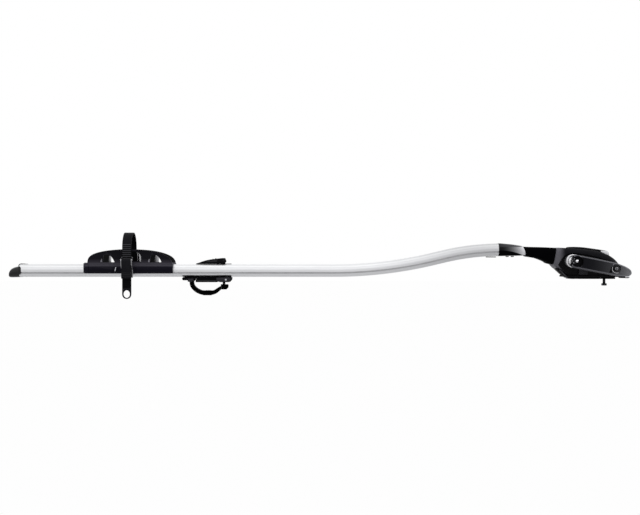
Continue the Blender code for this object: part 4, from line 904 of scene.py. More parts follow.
# (x, z) outline of the side recess, its upper rim first
RECESS_RIM = smooth_line([
    (-70.5, 47.0), (-66.5, 52.0), (-60.0, 55.6), (-52.0, 57.4), (-41.0, 57.4), (-26.0, 55.6),
    (-9.0, 52.4), (19.0, 45.6), (38.0, 38.4), (54.0, 28.6), (64.0, 18.0)], 3)
RECESS = RECESS_RIM + [(82.0, 4.0), (82.0, -6.0), (-58.0, -6.0), (-60.5, 4.0), (-72.0, 16.5),
                       (-80.5, 27.0), (-79.5, 31.0), (-75.0, 39.0)]
CHANNEL = [(-54.6, 90), (-54.6, 61.3), (8, 58.2), (15, 39.5), (80, 39.5), (80, 90)]
housing = finish_mesh("housing_shell", stack(dense([body_loop(*row) for row in HOUSING], 2)),
                      ["shell", "panel"], 40)
cuts = [prism("side_recess", RECESS, s * 31.2, s * 60.0, "panel") for s, _ in SIDES]
cuts += [rod_y("skewer_bore", SKEWER_X, SKEWER_Z, -60, 60, 13.35, "panel", 48),
         prism("clamp_channel", CHANNEL, -15.6, 15.6, "panel"),
         rod("bolt_bore", (CLAMP_X, 0, -5), (CLAMP_X, 0, 60), 4.2, "panel")]
carve(housing, cuts)
for face in housing.data.polygons:
    x, y, z = centre_of(face)
    y = abs(y)
    in_channel = y < 15.7 and z > 38.5 and x > -54.9 and (y > 15.5 or z < 61.6)
    if in_channel or (30.9 < y < 31.4 and abs(face.normal.y) > 0.9):
        face.material_index = 1
bevel(housing, 0.7, angle=50)
put(housing, "carrier", "housing", "head_housing")

LIP_EDGE = RECESS_RIM + [(x + 0.35, z - 1.5) for x, z in reversed(RECESS_RIM)]
BOSS = [(-34.5, 9.5), (-32.0, 26.0), (-12.5, 24.0), (-14.5, 9.5)]
REAR_LIP = [(-88.0, 24.6), (-78.5, 13.6), (-69.5, 5.6), (-67.5, 6.8), (-76.6, 15.2), (-86.2, 26.4)]
for s, tag in SIDES:
    # thin lip along the upper rim of the recess
    put(prism("recess_lip_" + tag, LIP_EDGE, s * 31.0, s * 33.4, "shell"), "carrier", "housing")
    # boss low on the side panel
    put(prism("side_boss_" + tag, BOSS, s * 30.8, s * 35.0, "black_lite", soft=1.0),
        "carrier", "housing")
    # layered lips under the flare, the upper one leaning
    forward = 7.4 if s < 0 else 14.4
    for i, (dx, dz, lean, mat) in enumerate(((0.0, 0.0, 0.06, "black"), (4.2, -3.0, 0.0, "lip"))):
        points = [(x + dx, z + dz) for x, z in REAR_LIP]
        points = [(x + forward - lean * (z + 3.0), z - 0.8 - (1.6 if z > 20 else 0.0))
                  for x, z in points]
        put(prism("rear_lip_%s_%d" % (tag, i), points, s * 12.0, s * (30.0 + 1.5 * i), mat,
                  soft=0.5), "carrier", "housing")

# ============================================================================
# CAD pieces of the head
# ============================================================================
refine_all(
    ("base_plate", "black", 0.4), ("front_pad", "rubber", 0.5),
    *(("base_screw_%d" % i, "steel_dark", 0.2) for i in range(1, 5)),
    ("tube_stop_tab", "black", 0.5),
    ("collar_screw_1", "steel_dark", 0.3), ("collar_screw_2", "steel_dark", 0.3),
    ("axle_tube", "cast", 0.3),
    ("dropout_washer_near", "steel", 0.2), ("dropout_washer_far", "steel", 0.2),
    ("lock_catch", "black_lite", 0.7))
put(box("catch_foot", (44.5, -34.6, 10.6), (63.0, -30.8, 27.0), "black_lite", 0.8),
    "carrier", "black")
put(prism("tip_strip", [(56.6, 4.3), (65.0, 4.5), (66.6, 6.6), (65.8, 7.2), (56.8, 6.2)],
          -64.5, -75.6, "chrome", soft=0.3), "skewer_handle", "steel")
put(prism("tip_guard", [(44.0, 5.4), (46.0, 2.9), (63.4, 2.5), (66.4, 4.2), (66.0, 5.2),
                        (56.0, 8.0)], -64.5, -75.2, "lever_dark", soft=0.3),
    "skewer_handle", "black")
put(prism("latch_tab_mount", [(50.0, 8.0), (50.0, 5.0), (72.8, 5.0), (73.0, 8.0)],
          -20.0, -26.1, "black", soft=0.4), "carrier", "black")

# ============================================================================
# skewer lever, in its own frame: run along the lever and rise across it, from the skewer axis
# ============================================================================
TILT = radians(-11.3)
PIN_Y = -71.0
LOCK_RUN, LOCK_RISE = 91.2, 1.2
HUB_RUN, HUB_RX, HUB_RZ = 5.6, 12.0, 11.4     # oval recess over the skewer


def place_lever(run, rise, y):
    return (SKEWER_X + run * cos(TILT) - rise * sin(TILT), y,
            SKEWER_Z + run * sin(TILT) + rise * cos(TILT))


def across_lever(run, y, rise):
    return place_lever(run, rise, y)


def interpolate(table, value, eased=False):
    for (a, b), (c, d) in zip(table, table[1:]):
        if value <= c:
            t = max(0.0, min(1.0, (value - a) / (c - a)))
            if eased:
                t = t * t * (3 - 2 * t)
            return b + (d - b) * t
    return table[-1][1]


# run, how far the outer face is drawn in
TAPER = ((-20, 1.6), (-3, 1.0), (8, 0.0), (40, 0.0), (90, 1.5), (112, 3.8), (122, 6.2), (130, 9.4))
# run, y of the inner face
INNER_Y = ((-20, -66.4), (-9, -66.4), (-5.5, -64.6), (0, -62.9), (6, -62.5), (20.0, -63.4),
           (60.0, -64.4), (130.0, -65.6))
# (run, rise) outline of the lever
LEVER_SIDE = smooth_loop([
    (-8.3, -6.0), (-6.3, -11.0), (-1.0, -14.2), (8.0, -14.8), (30.0, -14.9), (56.0, -14.7),
    (84.0, -14.5), (104.0, -13.9), (117.0, -12.0), (125.0, -8.0), (128.6, -3.0),
    (127.4, 2.2), (122.0, 6.4), (112.0, 9.8), (98.0, 12.4), (82.0, 13.9), (56.0, 14.3),
    (30.0, 14.4), (8.0, 14.2), (-1.0, 13.4), (-6.3, 10.4), (-8.3, 6.0)])
# inset of the outline, shift from the inner face
INNER_RIM = ((1.6, 0.0), (0.5, -0.5), (0.0, -1.6))
# inset of the outline, y before the taper
OUTER_RIM = ((0.0, -75.6), (0.25, -77.4), (0.9, -78.9), (1.9, -79.9), (2.9, -80.0), (3.7, -79.5),
             (4.4, -79.1))
loops = [[place_lever(run, rise, interpolate(INNER_Y, run) + shift)
          for run, rise in inset(LEVER_SIDE, d)] for d, shift in INNER_RIM]
loops += [[place_lever(run, rise, y + interpolate(TAPER, run, True) * (1.0 if y < -77 else 0.8))
           for run, rise in inset(LEVER_SIDE, d)] for d, y in OUTER_RIM]
lever = finish_mesh("quick_lever", stack(loops), ["lever", "lever_dark"], 30)


def strip_cap(obj):
    """The big outer face becomes narrow strips across the lever, so its taper stays smooth."""
    bm = bmesh.new()
    bm.from_mesh(obj.data)
    cap = max((f for f in bm.faces if f.normal.y < -0.5), key=lambda f: len(f.verts))
    verts = list(cap.verts)
    n = len(verts)
    key = [v.co.x * cos(TILT) + v.co.z * sin(TILT) for v in verts]
    first, last = key.index(min(key)), key.index(max(key))
    ahead, back = [first], [first]
    while ahead[-1] != last:
        ahead.append((ahead[-1] + 1) % n)
    while back[-1] != last:
        back.append((back[-1] - 1) % n)
    bmesh.ops.delete(bm, geom=[cap], context="FACES_ONLY")
    i, j = 0, 0
    while i < len(ahead) - 1 or j < len(back) - 1:
        step_ahead = j == len(back) - 1 or (i < len(ahead) - 1
                                            and key[ahead[i + 1]] <= key[back[j + 1]])
        corners = (ahead[i], back[j], ahead[i + 1] if step_ahead else back[j + 1])
        if len(set(corners)) == 3:
            bm.faces.new([verts[k] for k in corners]).smooth = True
        i, j = (i + 1, j) if step_ahead else (i, j + 1)
    bmesh.ops.recalc_face_normals(bm, faces=bm.faces)
    bm.to_mesh(obj.data)
    bm.free()


strip_cap(lever)
LOCK_X, _, LOCK_Z = place_lever(LOCK_RUN, LOCK_RISE, 0)
cam_relief = [(-30.0, -45.0), (1.7, -45.0)]
cam_relief += [(-out, PIN_Y - side) for out, side in cam_outline(9.0, 100)]
cam_relief += [(-3.36, -84.5), (-30.0, -84.5)]
carve(lever, [
    prism("hub_recess", ellipse(HUB_RUN, 0.0, HUB_RX, HUB_RZ, 48), -75.2, -100, "lever_dark",
          place_lever),
    prism("rod_slot", [(-30, -50), (6.9, -50), (6.9, -77.7), (-30, -77.7)], -4.9, 4.9,
          "lever_dark", across_lever),
    prism("cam_relief", cam_relief, -20.0, 20.0, "lever_dark", across_lever),
    rod("pin_bore", place_lever(0, -30, PIN_Y), place_lever(0, 30, PIN_Y), 2.35, "lever_dark"),
    rod_y("lock_bore", LOCK_X, LOCK_Z, -50, -100, 6.4, "lever_dark", 40),
    rod_y("lock_seat", LOCK_X, LOCK_Z, -76.6, -100, 9.7, "lever_dark", 40)], sharp=30)
# the recess, the lock seat and the rod slot are dark
for face in lever.data.polygons:
    x, y, z = centre_of(face)
    dx, dz = x - SKEWER_X, z - SKEWER_Z
    run = dx * cos(TILT) + dz * sin(TILT)
    rise = -dx * sin(TILT) + dz * cos(TILT)
    in_hub = hypot((run - HUB_RUN) / HUB_RX, rise / HUB_RZ) < 1.02 and y < -75.0
    in_lock = hypot(run - LOCK_RUN, rise - LOCK_RISE) < 9.8 and y < -60
    in_slot = (abs(rise) < 5.0 and -8.0 < run < 5.4
               and abs(face.normal.z) + abs(face.normal.x) > 0.5)
    if in_hub or in_lock or in_slot:
        face.material_index = 1
bevel(lever, 0.35, angle=40)
weighted = lever.modifiers.new("face_normals", "WEIGHTED_NORMAL")
weighted.weight = 100
weighted.keep_sharp = True
put(lever, "skewer_handle", "lever", "skewer_lever")

# raised rib round the recess, open where the rod passes: radius along the lever, y
RIB = ((13.2, -78.4), (13.0, -79.7), (12.5, -80.0), (12.0, -79.7), (11.9, -76.8), (13.0, -76.8))
loops = [[place_lever(run, rise, y) for run, rise in ellipse(HUB_RUN, 0.0, r, r * 0.95, 56)]
         for r, y in RIB]
rib = finish_mesh("recess_rib", stack(loops, closed=True), "lever_dark", 40)
carve(rib, [prism("rib_gap", [(-30, -50), (-2.0, -50), (-2.0, -90), (-30, -90)], -30, 30,
                  place=across_lever)], sharp=40)
put(rib, "skewer_handle", "lever")

# ============================================================================
# skewer and lock
# ============================================================================
NEARWARD = (0, -1, 0)
refine_all(("skewer_pin", "steel", 0.0), ("skewer_rod", "steel_dark", 0.4))
# lathe profiles: radius, height
put(lathe("cam_button", [(0, 0), (3.3, 0), (3.3, 0.7), (2.9, 1.6), (1.9, 2.2), (0, 2.4)],
          place_lever(4.6, 0.9, -75.1), NEARWARD, "chrome", 32), "skewer_handle", "steel")
CUP = [(4.6, 0), (12.8, 0), (14.0, 0.4), (14.5, 1.2), (14.5, 2.2), (13.9, 3.4), (12.8, 4.1),
       (11.7, 4.0), (10.8, 3.0), (9.8, 2.8), (9.2, 3.6), (8.4, 4.3), (6.6, 4.6), (4.6, 4.6)]
put(lathe("thrust_cup", CUP, (SKEWER_X, -56.6, SKEWER_Z), NEARWARD, "cup", 72),
    "carrier", "chrome", "skewer_cup")
BEZEL = [(6.45, 0), (9.3, 0), (9.3, 2.6), (9.1, 3.1), (8.8, 3.15), (8.5, 2.7), (7.8, 1.6),
         (6.45, 1.4)]
put(lathe("lock_bezel", BEZEL, (LOCK_X, -77.0, LOCK_Z), NEARWARD, "bezel", 56),
    "skewer_handle", "chrome", "lock_ring")
refine("lock_plug", "plug", 0.2)
lock_face = lathe("lock_face", [(0, 0), (3.4, 0), (3.4, 0.4), (3.0, 0.7), (2.4, 0.75), (2.2, 0.4),
                                (0, 0.4)], (LOCK_X, -80.4, LOCK_Z), NEARWARD, "steel_mid", 40)
glint = arc(LOCK_RUN, LOCK_RISE, 9.75, 165, 305, 28) + arc(LOCK_RUN, LOCK_RISE, 9.05, 305, 165, 28)
put(prism("bezel_glint", glint, -78.2, -80.3, "chrome", place_lever), "skewer_handle", "chrome")
keyhole = [(LOCK_RUN + run, LOCK_RISE + rise)
           for run, rise in ((-0.7, -2.4), (0.7, -2.4), (0.7, 2.4), (-0.7, 2.4))]
carve(lock_face, [prism("keyhole", keyhole, -79.0, -84.0, "lever_dark", place_lever)])
put(lock_face, "lock_core", "steel")
refine("skewer_nut", "black", 0.5)
put(lathe("nut_insert", [(4.6, 0), (7.2, 0), (7.2, 1.4), (6.8, 1.8), (4.6, 1.8)],
          (SKEWER_X, 69.2, SKEWER_Z), (0, 1, 0), "steel", 6), "adjust_nut", "steel")

# ============================================================================
# front clamp lever
# ============================================================================
# (x, z) outline: cam flank round the pin, top edge, underside
clamp_outline = [(CLAMP_X + dx, CLAMP_Z + dz) for dx, dz in cam_outline(11.0, 100)]
clamp_outline += smooth_line([
    (CLAMP_X + 6.9, 55.0), (CLAMP_X + 6.1, 59.3), (CLAMP_X + 4.6, 61.6), (22.5, 64.6),
    (0.0, 68.0), (-22.5, 70.8), (-46.0, 71.5), (-51.2, 69.8)])
clamp_outline += [(-51.6, 66.6), (-48.5, 64.8), (-16.0, 63.2), (6.0, 60.8), (13.0, 57.6),
                  (17.5, 50.0), (22.5, 43.6), (26.0, 41.35)]
clamp = prism("clamp_handle", clamp_outline, -14.6, 14.6, ["black", "black"], soft=1.2)
carve(clamp, [
    rod_y("trunnion_bore", CLAMP_X, CLAMP_Z, -30, 30, 5.35, "black", 40),
    box("bolt_slot", (CLAMP_X - 5.4, -4.3, 30), (60, 4.3, 56.6), "black"),
    prism("grip_pocket", [(-44.0, 73.0), (-44.0, 70.6), (-4.0, 67.6), (-4.0, 73.0)],
          -9.5, 9.5, "black")], sharp=32)
bevel(clamp, 0.35, angle=42)
put(clamp, "clamp_handle", "black", "clamp_lever")
for i in range(5):
    x = -38.0 + 7.0 * i
    z = 70.45 - 0.0735 * (x + 44.0)
    bar = smooth_loop([(x - 1.2, z - 0.4), (x - 0.9, z + 0.5), (x + 0.9, z + 0.4),
                       (x + 1.2, z - 0.5)], 2)
    put(prism("grip_bar_%d" % i, bar, -8.8, 8.8, "black_lite"), "clamp_handle", "black")
# (x from the clamp pin, z)
NOSE_PLATE = ((0.5, 62.6), (4.9, 61.9), (6.5, 59.5), (7.3, 55.0), (7.3, 53.2), (6.3, 53.2),
              (5.9, 56.4), (4.4, 59.4), (0.5, 60.6))
nose_plate = prism("clamp_nose_plate", [(CLAMP_X + dx, z) for dx, z in NOSE_PLATE],
                   -13.4, 13.4, "steel")
carve(nose_plate, [box("bolt_gap", (CLAMP_X - 2.0, -4.7, 40.0), (60.0, 4.7, 57.6))], sharp=32)
put(nose_plate, "clamp_handle", "steel")
CHEEK = [(20.0, 63.3), (20.5, 60.4), (27.0, 56.0), (33.0, 53.6), (37.6, 53.2), (37.8, 57.0),
         (37.0, 60.6), (35.4, 61.8), (28.0, 62.6)]
for s, tag in SIDES:
    put(prism("nose_cheek_" + tag, CHEEK, s * 14.2, s * 15.05, "chrome", soft=0.25),
        "clamp_handle", "steel")
refine_all(("clamp_trunnion", "steel", 0.3), ("t_bolt", "steel_dark", 0.3),
           ("clamp_wear_plate", "steel", 0.2))

# ============================================================================
# wheel cradle
# ============================================================================
CRADLE_X, SKIRT_HALF = -1034.0, 99.0
WING_X, WING_HALF = -1030.0, 94.0
STRAP_X = -1034.2


def wing_height(x):
    u = min(abs((x - WING_X) / WING_HALF), 1.0)
    return 31.5 + 34.6 * max(1 - u * u, 0.0) ** (0.285 if x < WING_X else 0.39)


def cradle_outline(x):
    """(y, z) section: skirts, wings and floor, with the underside last."""
    skirt = 14.5 if abs(x - CRADLE_X) > 0.985 * SKIRT_HALF else 13.0
    top = max(wing_height(x), 34.5)
    k = (top - 34.5) / 32.0
    far = [
        (23.5, skirt), (24.2, skirt - 0.4), (27.4, skirt - 0.4), (28.2, skirt), (28.9, 18.0),
        (29.6, 24.0), (30.1, 29.8), (30.15, 30.9), (29.8, 31.8), (29.1, 32.25), (29.2, 32.6),
        (29.8 + 2.5 * k, 32.2 + (top - 32.2) * 0.5), (30.6 + 3.4 * k, 32.2 + (top - 32.2) * 0.8),
        (31.0 + 4.0 * k, top - 1.0), (30.8 + 4.0 * k, top - 0.35), (30.2 + 4.0 * k, top),
        (28.3 + 4.2 * k, top), (27.6 + 4.1 * k, top - 0.4), (27.3 + 4.0 * k, top - 1.2),
        (26.1 + 3.2 * k, 33.6 + (top - 33.4) * 0.72), (24.6 + 2.2 * k, 33.6 + (top - 33.4) * 0.42),
        (22.4 + 0.8 * k, 35.6 + 1.2 * k), (19.0, 36.3), (8.0, 34.7)]
    under = [(-23.4, 27.0), (-22.0, 30.4), (-19.0, 32.0), (-12.0, 32.9)]
    return (far + [(-y, z) for y, z in reversed(far)]
            + under + [(-y, z) for y, z in reversed(under)])


stations = [CRADLE_X - SKIRT_HALF, CRADLE_X - SKIRT_HALF + 1.5, -1124.6, CRADLE_X + SKIRT_HALF]
stations += [WING_X - WING_HALF * cos(pi * i / 56) for i in range(57)]
rows = [[(x, y, z) for y, z in cradle_outline(x)] for x in sorted(stations)]
cradle = finish_mesh("cradle_shell", stack(rows), ["cradle", "panel"], 40)

# rails that run in the beam's grooves, a boss on the near skirt and one inside the far wing
groove_z = AXIS_Z + GROOVE_Z
for s, _ in SIDES:
    rail = [(s * 23.8, groove_z - 1.3), (s * 22.1, groove_z - 0.9), (s * 22.1, groove_z + 0.9),
            (s * 23.8, groove_z + 1.3)]
    rail = prism("rail", rail, CRADLE_X - 86, CRADLE_X + 86, place=along_x)
    carve(cradle, [rail], "UNION", 40)
    if s < 0:
        boss = prism("boss", [(STRAP_X - 11.5, 14.0), (STRAP_X + 11.5, 14.0),
                              (STRAP_X + 11.5, 38.0), (STRAP_X - 11.5, 38.0)],
                     -26.0, -36.6, soft=1.0)
    else:
        boss = box("boss", (STRAP_X - 8.0, 24.45, 41.5), (STRAP_X + 8.0, 29.0, 53.0))
    carve(cradle, [boss], "UNION", 40)

# (x, z) outlines of the openings in the wings
NEAR_WINDOW = [(-1049.0, 38.4), (-1048.0, 55.0), (-1046.0, 59.5), (-1042.0, 61.5),
               (-1012.5, 61.5), (-1009.0, 58.2), (-1006.5, 54.0), (-1004.0, 46.0), (-1003.2, 38.4)]
FAR_WINDOW = [(-1018.4, 38.4), (-1020.2, 61.0), (-1012.5, 60.8)] + NEAR_WINDOW[-4:]
FAR_SLIT = [(-1023.6, 38.4), (-1023.6, 60.4), (-1022.2, 60.4), (-1020.6, 38.4)]
FIN_WINDOW = [(0.0, 37.0), (2.4, 50.0), (3.6, 52.6), (5.6, 53.6), (12.0, 53.6), (16.0, 52.4),
              (20.5, 49.0), (24.5, 43.6), (27.2, 37.0)]
FIN_PLACES = ((-1091.0, 1.0), (-985.6, 0.95))    # rear x, lengthwise scale
cuts = [prism("slit", FAR_SLIT, 15.0, 45.0),
        box("strap_pocket", (STRAP_X - 10.6, 20.5, 37.9), (STRAP_X + 10.6, 24.4, 75.0))]
for s, _ in SIDES:
    cuts.append(prism("window", NEAR_WINDOW if s < 0 else FAR_WINDOW, s * 15.0, s * 45.0, "panel"))
    for x0, k in FIN_PLACES:
        cuts.append(prism("fin_window", [(x0 + dx * k, z) for dx, z in FIN_WINDOW],
                          s * 15.0, s * 45.0, "panel"))
# screw and rivet holes: x, z, start y, radius
cuts += [rod_y("hole", x, z, y, 50 if y > 0 else -50, r) for x, z, y, r in (
    (STRAP_X, 47.0, 15.0, 2.8), (STRAP_X - 6, 20.0, -28.5, 2.3), (STRAP_X + 6, 20.0, -28.5, 2.3),
    (-1062.0, 22.0, -20.0, 2.9))]
# an end line and two shallow panels on each skirt
for s, _ in SIDES:
    y_low, y_high = sorted((s * 28.3, s * 40))
    cuts.append(box("end_line", (-1122.6, y_low, 8.0), (-1121.2, y_high, 31.0)))
    for panel in ([(-1117.0, 17.0), (-1072.0, 17.0), (-1069.0, 28.0), (-1117.0, 28.0)],
                  [(-1012.0, 17.0), (-944.0, 17.0), (-944.0, 28.0), (-1012.0, 28.0)]):
        cuts.append(prism("skirt_panel", panel, s * 29.3, s * 45.0))
carve(cradle, cuts, sharp=38)
# the inner faces of the wings are plain dark plastic
for face in cradle.data.polygons:
    _, y, z = centre_of(face)
    facing = face.normal.y
    inside = z > 36.9 and 20 < abs(y) < 34.5 and facing * y < 0 and abs(facing) > 0.5
    face.material_index = 1 if inside else 0
bevel(cradle, 0.55, angle=42)
put(cradle, "cradle", "plastic", "wheel_cradle")

# lips at the rear of the fin windows, pale as a painted highlight where the jamb catches light
WINDOW_LIP = ((-3.4, 37.4), (-2.9, 41.0), (-0.9, 45.4), (-0.2, 43.0), (-0.2, 37.4))
for s, tag in SIDES:
    for i, (x0, _) in enumerate(FIN_PLACES):
        put(prism("window_lip_%s_%d" % (tag, i), [(x0 + dx, z) for dx, z in WINDOW_LIP],
                  s * 30.2, s * 33.4, "cradle_lite", soft=0.3), "cradle", "plastic")
# pale rounded jambs at the rear edge of the far windows: rear x, front x, top z
for i, (x0, x1, top) in enumerate(((-1092.6, -1083.4, 53.6), (-988.4, -974.4, 53.2))):
    width = x1 - x0
    name = "jamb_%d" % i
    MATS[name] = jamb_plastic(name, rear=(x0 + 0.12 * width) * MM, front=x1 * MM)
    points = [(x0, 37.0), (x1, 37.0), (x1, top - 5.6), (x1 - 0.3 * width, top - 2.0),
              (x1 - 0.6 * width, top), (x0, top)]
    put(prism("window_" + name, points, 29.2, 31.8, name, soft=0.3), "cradle", "plastic")
# liner behind the strap opening: painted shade with pale bands of painted highlight
MATS["liner"] = liner_with_painted_light()
put(prism("window_liner", [(-1028.0, 37.0), (-1002.4, 37.0), (-1004.0, 50.0), (-1010.0, 60.4),
                           (-1014.0, 62.0), (-1028.0, 62.0)], 29.2, 31.8, "liner", soft=0.3),
    "cradle", "plastic")
# wheel grip bars across the floor, left out under the strap
FLOOR_BAR = [(-18.4, 36.0), (-8.0, 34.5), (8.0, 34.5), (18.4, 36.0), (18.0, 36.9), (8.0, 35.6),
             (-8.0, 35.6), (-18.0, 36.9)]
for i in range(9):
    x = -1110.0 + 19.2 * i
    if abs(x - STRAP_X) >= 6:
        put(prism("floor_bar_%d" % i, FLOOR_BAR, x - 1.2, x + 1.2, "cradle", along_x, 0.4),
            "cradle", "plastic")
refine("cradle_lock_screw", "cradle", 0.25)
screw_y = cad_box("cradle_lock_screw")[0][1]
# a bright steel strip on the slot edge: a painted highlight
put(prism("lock_screw_slot_highlight", [(-1063.4, 17.6), (-1061.6, 17.6), (-1059.4, 26.4), (-1061.2, 26.4)],
          screw_y + 0.5, screw_y - 0.25, "steel"), "cradle", "steel")

# ============================================================================
# strap, one continuous band arched over the cradle
# ============================================================================
INNER_R, OUTER_R = 31.25, 34.25
ARCH_Y, ARCH_Z = -10.25, 69.25
NEAR_IN, NEAR_OUT = ARCH_Y - INNER_R, ARCH_Y - OUTER_R
FAR_FOOT_Z, TAIL_Z = 38.5, -43.9


def arch(radius, angle):
    t = radians(angle)
    return ARCH_Y + radius * cos(t), ARCH_Z + radius * sin(t)


def far_run(radius):
    return [(ARCH_Y + radius, FAR_FOOT_Z + (ARCH_Z - FAR_FOOT_Z) * i / 8) for i in range(8)]


# outer face, then two raised bars on the near shoulder of the arch and the rest down the near run
band = far_run(OUTER_R) + [arch(OUTER_R, 180.0 * i / 44) for i in range(41)]
for angle in (168.05, 175.45):
    band += [arch(OUTER_R + height, angle - turn)
             for turn, height in ((2.0, 0.0), (1.7, 0.78), (-1.8, 0.78), (-2.3, 0.0))]
BAR_PITCH = 4.413
bar_heights = [67.6 - BAR_PITCH * i for i in range(13)]
bar_heights += [-5.26 + BAR_PITCH, -5.26, -9.67, -14.09, -18.5]
for z in bar_heights:
    band += [(NEAR_OUT, z + 1.25), (NEAR_OUT - 0.8, z + 1.05), (NEAR_OUT - 0.8, z - 1.0),
             (NEAR_OUT, z - 1.2)]
band += [(NEAR_OUT, z) for z in (-24.0, -30.0, -38.0, TAIL_Z)]
# inner face, back from the tail to the far foot
band += [(NEAR_IN, TAIL_Z), (NEAR_IN, -30.0)] + [(NEAR_IN, -24.0 + 92.0 * i / 14) for i in range(14)]
band += [arch(INNER_R, 180.0 * i / 44) for i in range(44, -1, -1)] + far_run(INNER_R)[::-1]


def pressed(y, z, limit):
    """A point with the raised bars pressed back to a limit from the middle of the arch."""
    if z <= ARCH_Z:
        return max(y, ARCH_Y - limit)
    return ARCH_Y + (y - ARCH_Y) * min(1.0, limit / hypot(y - ARCH_Y, z - ARCH_Z))


# x from the middle of the strap, limit of the outer face (None keeps the bars)
STRAP_ROWS = ((-10.0, OUTER_R - 0.35), (-9.6, OUTER_R), (-8.8, None),
              (8.8, None), (9.6, OUTER_R), (10.0, OUTER_R - 0.35))
rows = [[(STRAP_X + dx, pressed(y, z, limit) if limit and y < ARCH_Y - 20 else y, z)
         for y, z in band] for dx, limit in STRAP_ROWS]
strap = finish_mesh("strap_band", stack(rows), ["strap", "strap_bar", "lever_dark"], 28)
# rounded tail with an oval eye
EYE_Z = -32.6
cuts = []
for s, _ in SIDES:
    corner = [(STRAP_X + s * 10.6, EYE_Z + 1.0)]
    corner += [(STRAP_X + s * 9.9 * cos(radians(t)), EYE_Z - 1.3 + 9.9 * sin(radians(t)))
               for t in range(0, -91, -9)]
    corner += [(STRAP_X, -60), (STRAP_X + s * 20, -60), (STRAP_X + s * 20, EYE_Z + 1.0)]
    cuts.append(prism("tail_corner", corner, -30, -60))
cuts += [prism("eye", ellipse(STRAP_X, EYE_Z - 0.4, 7.1, 8.3, 48), -30, -60),
         rod_y("anchor_hole", STRAP_X, 47.0, 10, 60, 2.8)]
carve(strap, cuts, sharp=28)


def strap_slot(centre, normal):
    """Material index: 0 plain strap, 1 raised bars painted pale as a highlight, 2 faces painted dark
    as shade (far run, inner face, gaps between bars, bars below z 0).
    """
    _, y, z = centre
    r = hypot(y - ARCH_Y, z - ARCH_Z) if z > ARCH_Z else abs(y - ARCH_Y)
    arch_share = max(0.0, min(1.0, z - ARCH_Z))
    inward = normal.y * (ARCH_Y - y) + normal.z * arch_share * (ARCH_Z - z) > 0
    if r > OUTER_R + 0.6:
        return 1 if z > 0.0 else 2
    # painted shade: the far run, the inner face and the gaps between the bars
    far_side = y > ARCH_Y + 10.0 and z < 68.0
    inner_face = r < INNER_R + 0.4 and inward and z > -20
    between_bars = (y < ARCH_Y - 20 and r > OUTER_R - 0.4 and 79.0 > z > -21
                    and abs(normal.x) < 0.5)
    return 2 if far_side or inner_face or between_bars else 0


for face in strap.data.polygons:
    face.material_index = strap_slot(centre_of(face), face.normal)
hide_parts("strap_loop", "strap_tail")
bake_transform(strap)

# ============================================================================
# ratchet buckle
# ============================================================================
refine_all(("strap_anchor_screw", "steel", 0.3), ("buckle_base", "buckle", 0.25),
           ("buckle_rivet_1", "steel", 0.15), ("buckle_rivet_2", "steel", 0.15),
           ("buckle_pin", "chrome", 0.25))
BUCKLE_Y, BUCKLE_Z = -49.4, 41.5
# (y, z) points shared by the paddle's lower tip and its wider grip
TIP = [(-47.4, 6.0), (-47.8, 2.6), (-48.8, 1.4), (-50.4, 1.2), (-51.8, 2.2), (-52.6, 4.4),
       (-52.9, 9.0)]
paddle_outline = arc(BUCKLE_Y, BUCKLE_Z, 3.3, 95, -60, 12)
paddle_outline += [(BUCKLE_Y + 3.4, BUCKLE_Z - 4.6), (BUCKLE_Y + 1.6, BUCKLE_Z - 6.4),
                   (-47.2, 30.0)] + TIP
paddle_outline += [(-53.0, 14.0), (-53.3, 26.0), (-53.4, 36.0), (-53.2, 40.0), (-52.6, 43.0),
                   (-51.4, 44.6)]
paddle = prism("buckle_paddle", paddle_outline, STRAP_X - 10.2, STRAP_X + 10.2,
               ["strap", "black"], along_x, 0.9)
grip = [(-47.6, 18.5)] + TIP + [(-53.05, 14.0), (-52.6, 18.5)]
carve(paddle, [prism("grip", grip, STRAP_X - 10.8, STRAP_X + 10.8, None, along_x, 0.8)],
      "UNION", 30)
carve(paddle, [rod("pin_bore", (STRAP_X - 20, BUCKLE_Y, BUCKLE_Z),
                   (STRAP_X + 20, BUCKLE_Y, BUCKLE_Z), 2.0)], sharp=30)
bevel(paddle, 0.3, angle=40)
put(paddle, "buckle_handle", "plastic", "buckle_lever")
for i in range(3):
    z = 6.4 + 3.6 * i
    rib = [(-52.2, z - 0.7), (-53.3, z - 0.5), (-53.5, z), (-53.3, z + 0.5), (-52.2, z + 0.7)]
    put(prism("paddle_rib_%d" % i, rib, STRAP_X - 9.8, STRAP_X + 9.8, "black_lite", along_x),
        "buckle_handle", "plastic")

# ============================================================================
# rear foot clamp
# ============================================================================
# saddle and pad, their upper flanks trimmed: node, material, edge width, trim height
for node, mat, width, trim_z in (("foot_saddle", "foot", 0.5, 3.3),
                                 ("foot_pad", "rubber_band", 0.7, 3.6)):
    piece = refine(node, mat, width)
    carve(piece, [box("flank", (-960.0, y0, trim_z), (-760.0, y1, 20.0))
                  for y0, y1 in ((-40.0, -15.0), (15.0, 40.0))], sharp=40)
refine("band_pin", "steel_dark", 0.25)
